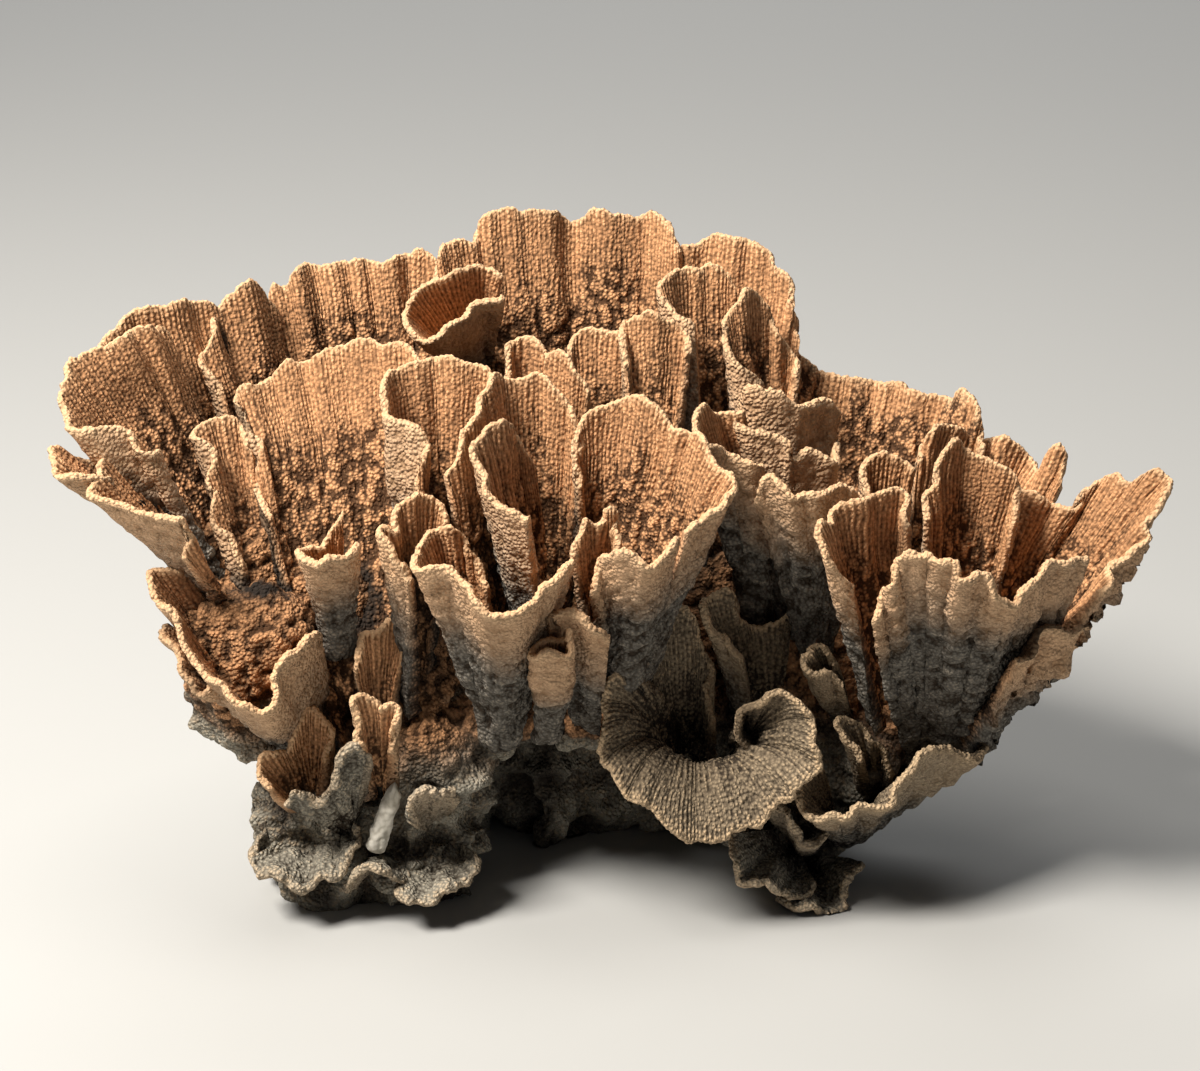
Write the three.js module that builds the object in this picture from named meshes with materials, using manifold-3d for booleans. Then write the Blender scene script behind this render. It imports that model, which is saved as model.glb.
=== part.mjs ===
// A foliose plating coral: thin ridged plates that fan and curl out of one encrusted holdfast.
// Every main plate is a solid of its own, split from its neighbours where the colony forks.
// Millimetres, +Z up. The origin is on the flat cut under the holdfast.
import * as THREE from "three";
import { mergeVertices } from "three/addons/utils/BufferGeometryUtils.js";
import Module from "manifold-3d";

const wasm = await Module();
wasm.setup();

// Driving dimensions
const RIM_THICKNESS = 2.8;
const ROOT_THICKNESS = 3.8;
const FORK_GAP = 0.3; // left between two pieces where the colony forks
const ROOT_SPREAD = 0.18; // width of a plate where it starts, as a share of its rim, unless the plate says
const PLEAT_HEIGHT = 0.8; // radial folds that stand for the ridges
const EVENED_POINTS = 24; // along a rim, to even its lobes out toward the root
const EVENING_PASSES = 24;
const COLUMN_WIDTH = 14; // facets along a rim
const ROW_HEIGHT = 36; // facets from root to rim

// The viewer that plate positions are written for, who looks down at the middle of the colony.
const VIEW_TILT = THREE.MathUtils.degToRad(20);
const VIEW_DISTANCE = 900;
const VIEW_CENTRE = { across: -3, up: 114 };
const ORIGIN_BACK = 62; // from the front of the foot to the middle of the cut

// A point written as the viewer sees it: mm across and up in the picture plane at the front foot, and mm
// behind that foot.
function seen([across, up, back]) {
  const sin = Math.sin(VIEW_TILT);
  const cos = Math.cos(VIEW_TILT);
  const eye = new THREE.Vector3(
    VIEW_CENTRE.across,
    VIEW_CENTRE.up * sin - VIEW_DISTANCE * cos,
    VIEW_CENTRE.up * cos + VIEW_DISTANCE * sin,
  );
  const onPlane = new THREE.Vector3(across, up * sin, up * cos);
  const ray = onPlane.sub(eye);
  const point = eye.clone().addScaledVector(ray, (back - eye.y) / ray.y);
  return point.setY(point.y - ORIGIN_BACK);
}

// The plates. root is where a plate starts and rim is the line of its free edge, both as seen() reads them.
// The rim runs clockwise as the ridged side is looked at. bowl 0 flares at the rim like a trumpet, 0.5 is
// straight and 1 cups. spread is the width of the root as a share of the rim. crest is how far a plate rises
// before the rim turns over and hangs.
const PLATES = [
  // Front left and centre
  { name: "front_cup", root: [-34, 52, 16], bowl: 0.55, rim: [
    [-11, 105, -8], [-17, 102, -16], [-24, 96, -22], [-32, 92, -25], [-38, 95, -24], [-46, 100, -20],
    [-54, 104, -14], [-60, 107, -6], [-58, 112, 0], [-53, 116, 5], [-46, 115, 8], [-41, 109, 8],
    [-37, 98, 4],
  ] },
  { name: "left_low_bowl", root: [-98, 54, 22], bowl: 0.8, spread: 0.3, rim: [
    [-86, 84, 4], [-92, 82, -4], [-96, 77, -9], [-100, 70, -13], [-103, 63, -16], [-108, 64, -18],
    [-113, 63, -18], [-118, 68, -16], [-122, 70, -13], [-126, 79, -8], [-131, 89, -3], [-136, 95, 3],
    [-135, 101, 7], [-131, 103, 11], [-127, 104, 18],
  ] },
  { name: "front_left_fan", root: [-74, 62, 16], bowl: 0.7, spread: 0.42, rim: [
    [-104, 118, 34], [-107, 142, 46], [-112, 156, 53], [-105, 159, 56], [-97, 166, 60], [-91, 165, 61],
    [-86, 169, 63], [-77, 171, 65], [-68, 171, 64], [-59, 170, 61], [-55, 162, 57],
  ] },
  { name: "round_fan", root: [-50, 70, 30], bowl: 0.75, spread: 0.35, rim: [
    [-57, 130, 22], [-58, 144, 24], [-63, 146, 27], [-68, 150, 32], [-69, 156, 37], [-64, 162, 43],
    [-57, 165, 47], [-49, 167, 49], [-42, 166, 49], [-34, 162, 46], [-32, 152, 42],
  ] },
  { name: "front_fold_fan", root: [-18, 64, 26], bowl: 0.6, spread: 0.3, rim: [
    [-24, 119, -6], [-31, 121, -4], [-36, 127, 1], [-39, 137, 7], [-38, 145, 13], [-33, 149, 19],
    [-28, 143, 24], [-23, 132, 24],
  ] },
  { name: "front_centre_fan", root: [-24, 66, 30], bowl: 0.75, spread: 0.35, rim: [
    [-48, 132, 14], [-46, 143, 20], [-42, 150, 27], [-37, 157, 35], [-33, 162, 41], [-28, 160, 44],
    [-22, 161, 45], [-16, 157, 43], [-11, 150, 40], [-9, 138, 36],
  ] },
  { name: "front_right_fan", root: [0, 62, 28], bowl: 0.6, spread: 0.25, rim: [
    [-10, 128, 32], [-8, 147, 38], [-1, 152, 40], [8, 155, 38], [14, 152, 34], [18, 146, 29],
    [26, 144, 22], [32, 136, 13], [39, 129, 4], [31, 122, -3], [23, 114, -8],
  ] },
  { name: "front_lip", root: [3, 66, 14], bowl: 0.45, spread: 0.4, rim: [
    [23, 113, -12], [17, 107, -18], [12, 104, -20], [6, 108, -18], [-2, 108, -13], [-4, 99, -6],
  ] },
  { name: "front_tongue", root: [-3, 78, 12], bowl: 0.6, spread: 0.5, rim: [
    [-9, 108, -4], [-8, 118, -1], [-4, 117, 0], [-2, 123, 2], [2, 124, 2], [4, 119, 1], [5, 110, -2],
  ] },
  { name: "front_small_lip", root: [-8, 58, 18], bowl: 0.5, spread: 0.45, rim: [
    [0, 84, -12], [-5, 86, -15], [-10, 89, -15], [-17, 91, -12], [-17, 84, -6],
  ] },
  { name: "front_tube", root: [-19, 54, 8], bowl: 0.3, spread: 0.6, rim: [
    [-9, 83, -16], [-13, 78, -19], [-18, 79, -20], [-22, 78, -16], [-19, 82, -11], [-13, 84, -11],
  ] },
  { name: "left_small_cup", root: [-82, 80, 18], bowl: 0.35, spread: 0.45, rim: [
    [-74, 110, 0], [-79, 106, -6], [-85, 104, -9], [-90, 105, -7], [-93, 109, -2], [-91, 110, 3],
    [-85, 112, 8], [-80, 119, 8],
  ] },
  { name: "left_edge_fan", root: [-58, 66, 22], bowl: 0.5, spread: 0.4, rim: [
    [-60, 100, -4], [-65, 109, -2], [-68, 115, 2], [-64, 114, 6], [-63, 121, 10], [-58, 126, 13],
    [-53, 125, 13], [-50, 116, 10],
  ] },
  // Left side
  { name: "left_under_lip", root: [-106, 62, 14], bowl: 0.6, spread: 0.3, rim: [
    [-118, 69, -8], [-123, 67, -10], [-128, 73, -8], [-131, 79, -5], [-134, 83, 0], [-131, 87, 6],
  ] },
  { name: "left_lip", root: [-120, 99, 22], bowl: 0.7, spread: 0.35, rim: [
    [-124, 106, 0], [-128, 118, -3], [-135, 118, -4], [-142, 119, -3], [-148, 121, 0], [-154, 128, 5],
    [-153, 134, 11], [-147, 140, 18], [-143, 139, 22], [-136, 131, 26], [-129, 124, 29],
  ] },
  { name: "left_narrow_fan", root: [-102, 78, 24], bowl: 0.6, spread: 0.35, rim: [
    [-112, 106, 22], [-117, 120, 28], [-120, 130, 32], [-119, 138, 36], [-123, 144, 40], [-118, 148, 45],
    [-113, 149, 48], [-109, 142, 46], [-106, 128, 42],
  ] },
  { name: "left_far_lip", root: [-130, 110, 26], bowl: 0.7, spread: 0.35, rim: [
    [-148, 128, 16], [-154, 132, 10], [-160, 132, 7], [-166, 131, 8], [-169, 136, 14], [-166, 141, 20],
    [-160, 138, 26], [-151, 134, 30],
  ] },
  { name: "left_front_fan", root: [-116, 104, 34], bowl: 0.75, spread: 0.5, rim: [
    [-134, 128, 22], [-140, 139, 20], [-146, 146, 19], [-153, 147, 17], [-160, 147, 18], [-166, 153, 24],
    [-163, 161, 32], [-159, 168, 38], [-151, 171, 44], [-142, 177, 52], [-135, 173, 60],
  ] },
  { name: "left_back_fan", root: [-98, 66, 46], bowl: 0.75, spread: 0.5, rim: [
    [-157, 167, 48], [-149, 175, 57], [-141, 180, 64], [-133, 182, 69], [-129, 184, 72], [-123, 183, 76],
    [-119, 181, 79], [-114, 170, 82], [-108, 158, 82],
  ] },
  { name: "left_high_fan", root: [-84, 70, 54], bowl: 0.7, spread: 0.5, rim: [
    [-115, 156, 62], [-119, 166, 66], [-120, 175, 72], [-116, 184, 80], [-109, 189, 86], [-105, 188, 89],
    [-101, 182, 92], [-97, 170, 92],
  ] },
  // Low plates on the right, near the floor
  { name: "low_flower", root: [28, 40, 24], bowl: 0.5, spread: 0.45, crest: 46, rim: [
    [43, 47, 6], [43, 57, 4], [46, 63, 1], [51, 64, -1], [56, 60, -4], [61, 51, -7], [61, 45, -9],
    [54, 37, -11], [45, 29, -12], [36, 24, -13], [26, 22, -13], [14, 30, -12], [4, 38, -8], [-2, 50, -3],
    [0, 62, 2], [3, 74, 6], [7, 76, 9], [9, 68, 12],
  ] },
  { name: "low_petal", root: [22, 42, 30], bowl: 0.65, spread: 0.6, rim: [
    [10, 58, 16], [10, 78, 18], [13, 88, 21], [18, 92, 23], [22, 92, 24], [26, 87, 25], [28, 78, 25],
    [29, 68, 24], [31, 56, 23],
  ] },
  { name: "low_right_cup", root: [72, 24, 34], bowl: 0.6, rim: [
    [92, 62, 40], [104, 55, 32], [114, 50, 24], [110, 45, 14], [100, 50, 4], [93, 48, -2], [86, 40, -6],
    [79, 33, -9], [70, 30, -11], [61, 31, -9], [57, 37, -4], [60, 42, 3], [64, 44, 10],
  ] },
  { name: "low_inner_blade", root: [79, 36, 32], bowl: 0.5, spread: 0.3, rim: [
    [74, 46, 10], [73, 50, 12], [69, 58, 14], [74, 58, 20], [82, 50, 24], [85, 42, 24],
  ] },
  { name: "low_shelf_fan", root: [72, 56, 42], bowl: 0.5, spread: 0.3, rim: [
    [70, 69, 18], [65, 71, 13], [60, 73, 12], [56, 77, 14], [59, 80, 19], [64, 80, 23], [69, 76, 26],
  ] },
  { name: "low_back_fan", root: [44, 52, 44], bowl: 0.6, rim: [
    [40, 78, 24], [32, 83, 22], [25, 92, 26], [27, 95, 30], [35, 98, 34], [38, 91, 36], [45, 87, 38],
    [54, 90, 40],
  ] },
  { name: "low_foot_ledge", root: [52, 22, 30], bowl: 0.55, spread: 0.3, rim: [
    [60, 12, 8], [58, 8, 3], [51, 9, -3], [44, 11, -6], [40, 14, -6], [38, 19, -3], [38, 25, 3],
  ] },
  { name: "low_foot_plate", root: [58, 14, 32], bowl: 0.55, spread: 0.3, rim: [
    [74, 17, 15], [71, 11, 9], [69, 7, 7], [69, 2, 2], [63, 1, 0], [56, 3, 0], [50, 6, 3],
  ] },
  { name: "low_foot_shelf", root: [58, 20, 34], bowl: 0.5, rim: [
    [64, 26, 10], [62, 20, 4], [56, 21, 0], [51, 29, -1], [48, 32, 6],
  ] },
  // Right side
  { name: "right_vase_front", root: [100, 46, 34], bowl: 0.65, spread: 0.3, rim: [
    [143, 106, 6], [134, 104, -4], [127, 99, -10], [120, 92, -14], [113, 102, -17], [107, 102, -18],
    [104, 106, -18], [95, 106, -17], [90, 108, -15], [84, 98, -10], [79, 89, -4],
  ] },
  { name: "right_wing", root: [106, 56, 40], bowl: 0.6, spread: 0.25, rim: [
    [121, 127, 44], [129, 126, 44], [138, 121, 42], [144, 128, 42], [151, 132, 40], [158, 130, 36],
    [165, 133, 32], [168, 128, 27], [162, 114, 20], [155, 104, 14], [147, 96, 8],
  ] },
  { name: "right_folded_fan", root: [82, 62, 26], bowl: 0.5, spread: 0.4, rim: [
    [72, 97, 0], [66, 108, -2], [63, 118, 2], [67, 118, 6], [70, 124, 10], [76, 126, 15], [83, 127, 17],
    [89, 126, 17], [87, 116, 14],
  ] },
  { name: "right_inner_fan", root: [98, 50, 42], bowl: 0.55, spread: 0.3, rim: [
    [95, 118, 28], [98, 131, 34], [104, 141, 38], [109, 139, 40], [116, 136, 40], [122, 132, 38],
    [122, 118, 34],
  ] },
  { name: "right_ledge", root: [104, 48, 30], bowl: 0.5, rim: [
    [144, 92, 22], [143, 86, 14], [138, 86, 8], [130, 84, 2], [122, 76, -3],
  ] },
  { name: "right_tier_front", root: [62, 76, 42], bowl: 0.4, rim: [
    [77, 122, 30], [70, 129, 24], [62, 127, 18], [56, 126, 16], [52, 129, 17], [47, 131, 22],
    [44, 122, 28],
  ] },
  { name: "right_tier_fan", root: [46, 78, 54], bowl: 0.6, spread: 0.25, rim: [
    [45, 136, 34], [36, 137, 29], [29, 142, 28], [25, 147, 32], [28, 152, 39], [33, 150, 43],
    [40, 152, 46],
  ] },
  { name: "right_tier_middle", root: [56, 84, 50], bowl: 0.4, spread: 0.3, rim: [
    [68, 140, 56], [65, 136, 49], [59, 138, 44], [54, 134, 41], [52, 141, 41], [45, 144, 41],
    [39, 149, 45],
  ] },
  { name: "right_tier_top", root: [54, 92, 58], bowl: 0.4, spread: 0.3, rim: [
    [68, 152, 70], [64, 154, 64], [59, 151, 58], [53, 155, 53], [47, 156, 51], [41, 158, 53],
    [39, 149, 60],
  ] },
  { name: "right_round_fan", root: [76, 72, 54], bowl: 0.55, spread: 0.3, rim: [
    [74, 126, 46], [77, 135, 50], [82, 138, 52], [87, 136, 52], [91, 133, 50],
  ] },
  { name: "right_rear_fan", root: [96, 72, 50], bowl: 0.6, spread: 0.35, rim: [
    [92, 134, 60], [97, 146, 64], [103, 147, 68], [112, 143, 72], [119, 144, 72], [125, 139, 68],
    [129, 134, 64], [136, 141, 62], [134, 128, 56],
  ] },
  // Middle row
  { name: "middle_narrow_fan", root: [13, 94, 54], bowl: 0.55, spread: 0.25, rim: [
    [4, 164, 66], [5, 174, 70], [8, 179, 73], [12, 181, 74], [17, 178, 73], [21, 175, 71], [22, 170, 68],
  ] },
  { name: "middle_fan", root: [-4, 88, 60], bowl: 0.6, spread: 0.36, rim: [
    [-12, 160, 70], [-11, 172, 74], [-6, 175, 76], [0, 175, 76], [5, 173, 75], [5, 163, 71],
  ] },
  { name: "middle_small_fan", root: [-20, 88, 60], bowl: 0.6, spread: 0.3, rim: [
    [-31, 162, 62], [-29, 171, 66], [-24, 173, 66], [-21, 168, 62], [-15, 168, 60], [-11, 165, 58],
    [-6, 156, 54],
  ] },
  { name: "curled_cup", root: [-42, 164, 102], bowl: 0.55, spread: 0.4, rim: [
    [-34, 186, 80], [-41, 181, 74], [-46, 178, 70], [-51, 174, 67], [-60, 174, 70], [-60, 181, 76],
    [-55, 188, 82], [-50, 190, 87], [-45, 194, 91], [-38, 194, 92], [-33, 191, 90],
  ] },
  { name: "middle_right_fan", root: [30, 98, 64], bowl: 0.6, spread: 0.3, rim: [
    [25, 176, 74], [18, 181, 78], [15, 188, 84], [18, 192, 89], [26, 194, 93], [33, 195, 94],
    [37, 186, 90],
  ] },
  { name: "right_shoulder_fan", root: [46, 100, 66], bowl: 0.5, spread: 0.3, rim: [
    [45, 160, 70], [37, 169, 74], [33, 177, 78], [38, 186, 85], [44, 187, 88], [48, 180, 86],
    [52, 170, 84], [55, 164, 80],
  ] },
  // Back row, left to right
  { name: "back_left_fan", root: [-60, 66, 62], bowl: 0.65, spread: 0.55, rim: [
    [-101, 178, 93], [-101, 189, 97], [-97, 188, 99], [-93, 195, 102], [-88, 195, 104], [-85, 194, 105],
    [-77, 197, 108], [-71, 195, 109], [-63, 198, 111], [-53, 198, 112], [-46, 186, 108],
  ] },
  { name: "back_centre_fan", root: [-12, 66, 70], bowl: 0.72, spread: 0.55, rim: [
    [-53, 186, 102], [-50, 201, 107], [-46, 203, 110], [-41, 202, 112], [-38, 208, 115], [-28, 211, 119],
    [-18, 210, 121], [-11, 208, 122], [-3, 211, 122], [7, 210, 121], [15, 209, 118], [19, 206, 115],
    [21, 198, 110],
  ] },
  { name: "back_right_fan", root: [28, 68, 68], bowl: 0.7, spread: 0.55, rim: [
    [16, 188, 110], [22, 200, 113], [29, 202, 114], [34, 203, 114], [42, 201, 112], [48, 199, 109],
    [51, 194, 105], [54, 191, 101], [54, 180, 96], [56, 171, 92],
  ] },
  { name: "right_back_wall", root: [72, 62, 56], bowl: 0.85, spread: 0.45, rim: [
    [53, 172, 100], [60, 165, 101], [66, 161, 101], [78, 160, 100], [84, 159, 97], [92, 156, 93],
    [101, 155, 88], [107, 156, 82], [113, 149, 74], [110, 138, 66],
  ] },
  // Small plates on the left foot
  { name: "foot_left_ledge", root: [-88, 26, 20], bowl: 0.5, spread: 0.4, rim: [
    [-74, 25, 2], [-77, 21, -3], [-82, 16, -7], [-88, 11, -10], [-92, 8, -11], [-98, 11, -9], [-104, 15, -4],
    [-107, 18, 3], [-104, 27, 10],
  ] },
  { name: "foot_middle_ledge", root: [-68, 20, 16], bowl: 0.5, spread: 0.4, rim: [
    [-60, 13, -2], [-63, 11, -6], [-67, 12, -8], [-71, 13, -9], [-76, 11, -8], [-79, 7, -6],
  ] },
  { name: "foot_right_dish", root: [-52, 20, 18], bowl: 0.7, spread: 0.35, rim: [
    [-41, 19, 6], [-40, 16, 1], [-44, 9, -5], [-50, 6, -9], [-55, 5, -11], [-60, 7, -10], [-63, 10, -6],
  ] },
  { name: "foot_upper_ledge", root: [-53, 28, 16], bowl: 0.6, spread: 0.4, rim: [
    [-46, 33, 2], [-48, 39, -2], [-51, 38, -5], [-52, 34, -7], [-56, 35, -9], [-60, 33, -8], [-61, 28, -3],
  ] },
  { name: "foot_pale_fan", root: [-69, 38, 6], bowl: 0.5, spread: 0.5, rim: [
    [-75, 50, -8], [-77, 64, -6], [-73, 64, -5], [-69, 61, -5], [-65, 61, -4], [-64, 50, -2],
  ] },
  { name: "foot_knob_fan", root: [-69, 62, 14], bowl: 0.5, spread: 0.5, rim: [
    [-77, 74, 10], [-75, 81, 10], [-73, 85, 11], [-69, 85, 12], [-65, 88, 13], [-62, 78, 12],
  ] },
  { name: "foot_front_fan", root: [-78, 26, 8], bowl: 0.5, rim: [
    [-96, 32, -8], [-96, 38, -8], [-91, 39, -8], [-86, 35, -9], [-84, 39, -10], [-79, 48, -9],
    [-75, 50, -8], [-74, 44, -6],
  ] },
  { name: "foot_brown_fan", root: [-90, 35, 10], bowl: 0.5, spread: 0.4, rim: [
    [-102, 37, -4], [-103, 46, -2], [-96, 48, 2], [-93, 57, 4], [-89, 62, 6], [-84, 57, 5], [-83, 47, 2],
  ] },
];

// The holdfast's lumps: middle [x, y, z] from the origin, and half sizes.
const LUMPS = [
  // Left foot
  { at: [-72, -34, 14], half: [32, 26, 22] },
  { at: [-93, -42, 24], half: [16, 15, 15] },
  { at: [-84, -50, 5], half: [16, 10, 9] },
  { at: [-56, -48, 5], half: [15, 10, 8] },
  { at: [-82, -28, 40], half: [24, 20, 22] },
  { at: [-52, -34, 38], half: [18, 18, 20] },
  // The arch between the feet, with its column
  { at: [-34, -30, 51], half: [18, 16, 9] },
  { at: [-2, -28, 53], half: [26, 18, 9] },
  { at: [-19, -14, 28], half: [4.5, 4.5, 32] },
  // The slopes that the left plates grow from
  { at: [-107, -42, 74], half: [22, 15, 28] },
  { at: [-112, -24, 90], half: [20, 14, 22] },
  { at: [-84, -26, 80], half: [24, 13, 24] },
  { at: [-58, -28, 68], half: [18, 14, 24] },
  // Rear trunk
  { at: [-62, 4, 42], half: [34, 20, 50] },
  { at: [-14, 8, 40], half: [40, 22, 54] },
  { at: [28, 4, 44], half: [32, 20, 50] },
  { at: [64, -6, 44], half: [30, 18, 30] },
  { at: [92, -14, 38], half: [20, 15, 17] },
  // Right foot
  { at: [58, -20, 14], half: [19, 15, 24] },
  { at: [36, -36, 26], half: [12, 13, 13] },
  { at: [77, -21, 30], half: [15, 14, 15] },
];
const LARGE_LUMP = 30; // half size from which a lump is rounded with more facets
const LUMP_ROUGHNESS = 0.2; // of a lump's half size

// A repeatable wave between -1 and 1 that never lines up with itself, for lumps and lobes.
function waver(x, y, z) {
  const first = Math.sin(x * 1.7 + y * 2.3);
  const second = Math.sin(y * 1.9 - z * 2.9 + 1.3);
  const third = Math.sin(z * 2.1 + x * 3.1 + 0.7);
  return (first + second + third) / 3;
}

function solidOf(geometry) {
  for (const name of Object.keys(geometry.attributes)) {
    if (name !== "position") geometry.deleteAttribute(name);
  }
  const merged = mergeVertices(geometry, 1e-3);
  return new wasm.Manifold(new wasm.Mesh({
    numProp: 3,
    vertProperties: merged.attributes.position.array,
    triVerts: new Uint32Array(merged.index.array),
  }));
}

function geometryOf(solid) {
  const mesh = solid.getMesh();
  const geometry = new THREE.BufferGeometry();
  geometry.setAttribute("position", new THREE.BufferAttribute(mesh.vertProperties, mesh.numProp));
  geometry.setIndex(new THREE.BufferAttribute(mesh.triVerts, 1));
  geometry.computeVertexNormals();
  return geometry;
}

// Whether the boxes around two solids don't meet.
function apart(one, other) {
  const a = one.boundingBox();
  const b = other.boundingBox();
  return [0, 1, 2].some((k) => a.min[k] > b.max[k] || b.min[k] > a.max[k]);
}

function largestBody(solid) {
  return solid.decompose().reduce((best, body) => (body.volume() > best.volume() ? body : best));
}

// The same line with its lobes evened out, for the lower part of a plate.
function evened(points) {
  let line = points;
  for (let pass = 0; pass < EVENING_PASSES; pass += 1) {
    line = line.map((point, i) => {
      if (i === 0 || i === line.length - 1) return point;
      return point.clone().multiplyScalar(2).add(line[i - 1]).add(line[i + 1]).divideScalar(4);
    });
  }
  return line;
}

// The middle surface of a plate as columns of points from its root to its rim.
function plateColumns(plate) {
  const rim = new THREE.CatmullRomCurve3(plate.rim.map(seen), false, "centripetal");
  const root = seen(plate.root);
  const columns = Math.max(5, Math.round(rim.getLength() / COLUMN_WIDTH));
  const even = new THREE.CatmullRomCurve3(evened(rim.getSpacedPoints(EVENED_POINTS)), false, "centripetal");
  const middle = even.getPoints(EVENED_POINTS).reduce((sum, point) => sum.add(point), new THREE.Vector3());
  middle.divideScalar(EVENED_POINTS + 1);
  const axis = middle.clone().sub(root);
  const rows = Math.max(2, Math.round(axis.length() / ROW_HEIGHT));
  axis.normalize();
  return rim.getSpacedPoints(columns).map((tip, i) => {
    const end = even.getPointAt(i / columns);
    const lobe = tip.clone().sub(end);
    const start = end.clone().sub(middle).multiplyScalar(plate.spread ?? ROOT_SPREAD).add(root);
    const whole = end.clone().sub(start);
    const along = axis.clone().multiplyScalar(whole.dot(axis));
    const outward = whole.clone().sub(along);
    const bend = start.clone()
      .addScaledVector(along, 0.75 - 0.5 * plate.bowl)
      .addScaledVector(outward, 0.25 + 0.5 * plate.bowl);
    bend.z += (plate.crest ?? 0) * (1 - Math.max(0, whole.z) / whole.length());
    const spine = new THREE.QuadraticBezierCurve3(start, bend, end).getPoints(rows);
    return spine.map((point, j) => point.addScaledVector(lobe, (j / rows) ** 2));
  });
}

// A plate as a closed solid, grown on every side by grow.
function plateSolid(plate, grow = 0) {
  const middle = plateColumns(plate);
  const columns = middle.length - 1;
  const rows = middle[0].length - 1;
  const upper = [];
  const under = [];
  const clampColumn = (i) => Math.min(columns, Math.max(0, i));
  const clampRow = (j) => Math.min(rows, Math.max(0, j));
  for (let i = 0; i <= columns; i += 1) {
    for (let j = 0; j <= rows; j += 1) {
      const alongRim = middle[clampColumn(i + 1)][j].clone().sub(middle[clampColumn(i - 1)][j]).normalize();
      const alongGrowth = middle[i][clampRow(j + 1)].clone().sub(middle[i][clampRow(j - 1)]).normalize();
      const facing = alongRim.clone().cross(alongGrowth).normalize();
      const share = j / rows;
      const pleat = PLEAT_HEIGHT * share * (i % 2 ? 1 : -1);
      const half = THREE.MathUtils.lerp(ROOT_THICKNESS, RIM_THICKNESS, share) / 2 + grow;
      const point = middle[i][j].clone().addScaledVector(facing, pleat);
      if (i === 0) point.addScaledVector(alongRim, -grow);
      if (i === columns) point.addScaledVector(alongRim, grow);
      if (j === rows) point.addScaledVector(alongGrowth, grow);
      if (j === 0) point.addScaledVector(alongGrowth, -grow);
      upper.push(point.clone().addScaledVector(facing, half));
      under.push(point.clone().addScaledVector(facing, -half));
    }
  }
  const count = upper.length;
  const at = (i, j) => i * (rows + 1) + j;
  const faces = [];
  const quad = (a, b, c, d) => faces.push(a, b, c, a, c, d);
  for (let i = 0; i < columns; i += 1) {
    for (let j = 0; j < rows; j += 1) {
      quad(at(i, j), at(i + 1, j), at(i + 1, j + 1), at(i, j + 1));
      quad(count + at(i, j), count + at(i, j + 1), count + at(i + 1, j + 1), count + at(i + 1, j));
    }
    quad(at(i, rows), at(i + 1, rows), count + at(i + 1, rows), count + at(i, rows));
    quad(at(i + 1, 0), at(i, 0), count + at(i, 0), count + at(i + 1, 0));
  }
  for (let j = 0; j < rows; j += 1) {
    quad(at(0, j), at(0, j + 1), count + at(0, j + 1), count + at(0, j));
    quad(at(columns, j + 1), at(columns, j), count + at(columns, j), count + at(columns, j + 1));
  }
  const geometry = new THREE.BufferGeometry().setFromPoints([...upper, ...under]);
  geometry.setIndex(faces);
  return solidOf(geometry);
}

// One lump of the holdfast: a rough ball.
function lumpSolid({ at, half }, grow = 0) {
  const geometry = new THREE.IcosahedronGeometry(1, Math.max(...half) > LARGE_LUMP ? 1 : 0);
  const place = geometry.attributes.position;
  const point = new THREE.Vector3();
  for (let i = 0; i < place.count; i += 1) {
    point.fromBufferAttribute(place, i);
    const rough = 1 + LUMP_ROUGHNESS * waver(point.x * 3 + at[0], point.y * 3 + at[1], point.z * 3 + at[2]);
    point.set(
      at[0] + point.x * (half[0] * rough + grow),
      at[1] + point.y * (half[1] * rough + grow),
      at[2] + point.z * (half[2] * rough + grow),
    );
    place.setXYZ(i, point.x, point.y, point.z);
  }
  return solidOf(geometry);
}

// The stub of a broken branch that leans on the left foot.
const FINGER = { foot: [-71, 19, -2], tip: [-64, 39, 2], thickness: 6.4 };

function fingerSolid() {
  const foot = seen(FINGER.foot);
  const tip = seen(FINGER.tip);
  const length = foot.distanceTo(tip) - FINGER.thickness;
  const stub = new THREE.CapsuleGeometry(FINGER.thickness / 2, length, 2, 8, 1);
  const upright = new THREE.Vector3(0, 1, 0);
  stub.applyQuaternion(new THREE.Quaternion().setFromUnitVectors(upright, tip.clone().sub(foot).normalize()));
  const middle = foot.add(tip).divideScalar(2);
  return solidOf(stub.translate(middle.x, middle.y, middle.z));
}

// Everything below the surface the colony stands on.
function groundSolid() {
  const side = 1000;
  const ground = new THREE.BoxGeometry(side, side, side);
  ground.translate(0, 0, -side / 2);
  return solidOf(ground);
}

function holdfastSolid(grow = 0) {
  const lumps = LUMPS.map((lump) => lumpSolid(lump, grow));
  return lumps.reduce((sum, lump) => sum.add(lump)).subtract(groundSolid());
}

function stone(name, solid, colour) {
  const material = new THREE.MeshStandardMaterial({ color: colour, roughness: 0.95, metalness: 0 });
  const mesh = new THREE.Mesh(geometryOf(solid), material);
  mesh.name = name;
  return mesh;
}

const FINGER_COLOUR = 0xcdc6b8;
const PLATE_COLOUR = 0xc89f6f;
const HOLDFAST_COLOUR = 0xa39077;

const colony = new THREE.Group();
colony.add(stone("holdfast", largestBody(holdfastSolid()), HOLDFAST_COLOUR));

// Each piece is trimmed by what was built before it, with the fork gap left free.
const taken = [groundSolid(), holdfastSolid(FORK_GAP)];
function trimmed(solid) {
  const near = taken.filter((earlier) => !apart(solid, earlier));
  return largestBody(near.reduce((left, earlier) => left.subtract(earlier), solid));
}

for (const plate of PLATES) {
  colony.add(stone(plate.name, trimmed(plateSolid(plate)), PLATE_COLOUR));
  taken.push(plateSolid(plate, FORK_GAP));
}
colony.add(stone("broken_finger", trimmed(fingerSolid()), FINGER_COLOUR));

export default colony;
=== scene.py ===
# A foliose plating coral: ridged fans, cups and lips that curl out of one eroded holdfast.
import functools
import math
from typing import NamedTuple

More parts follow.
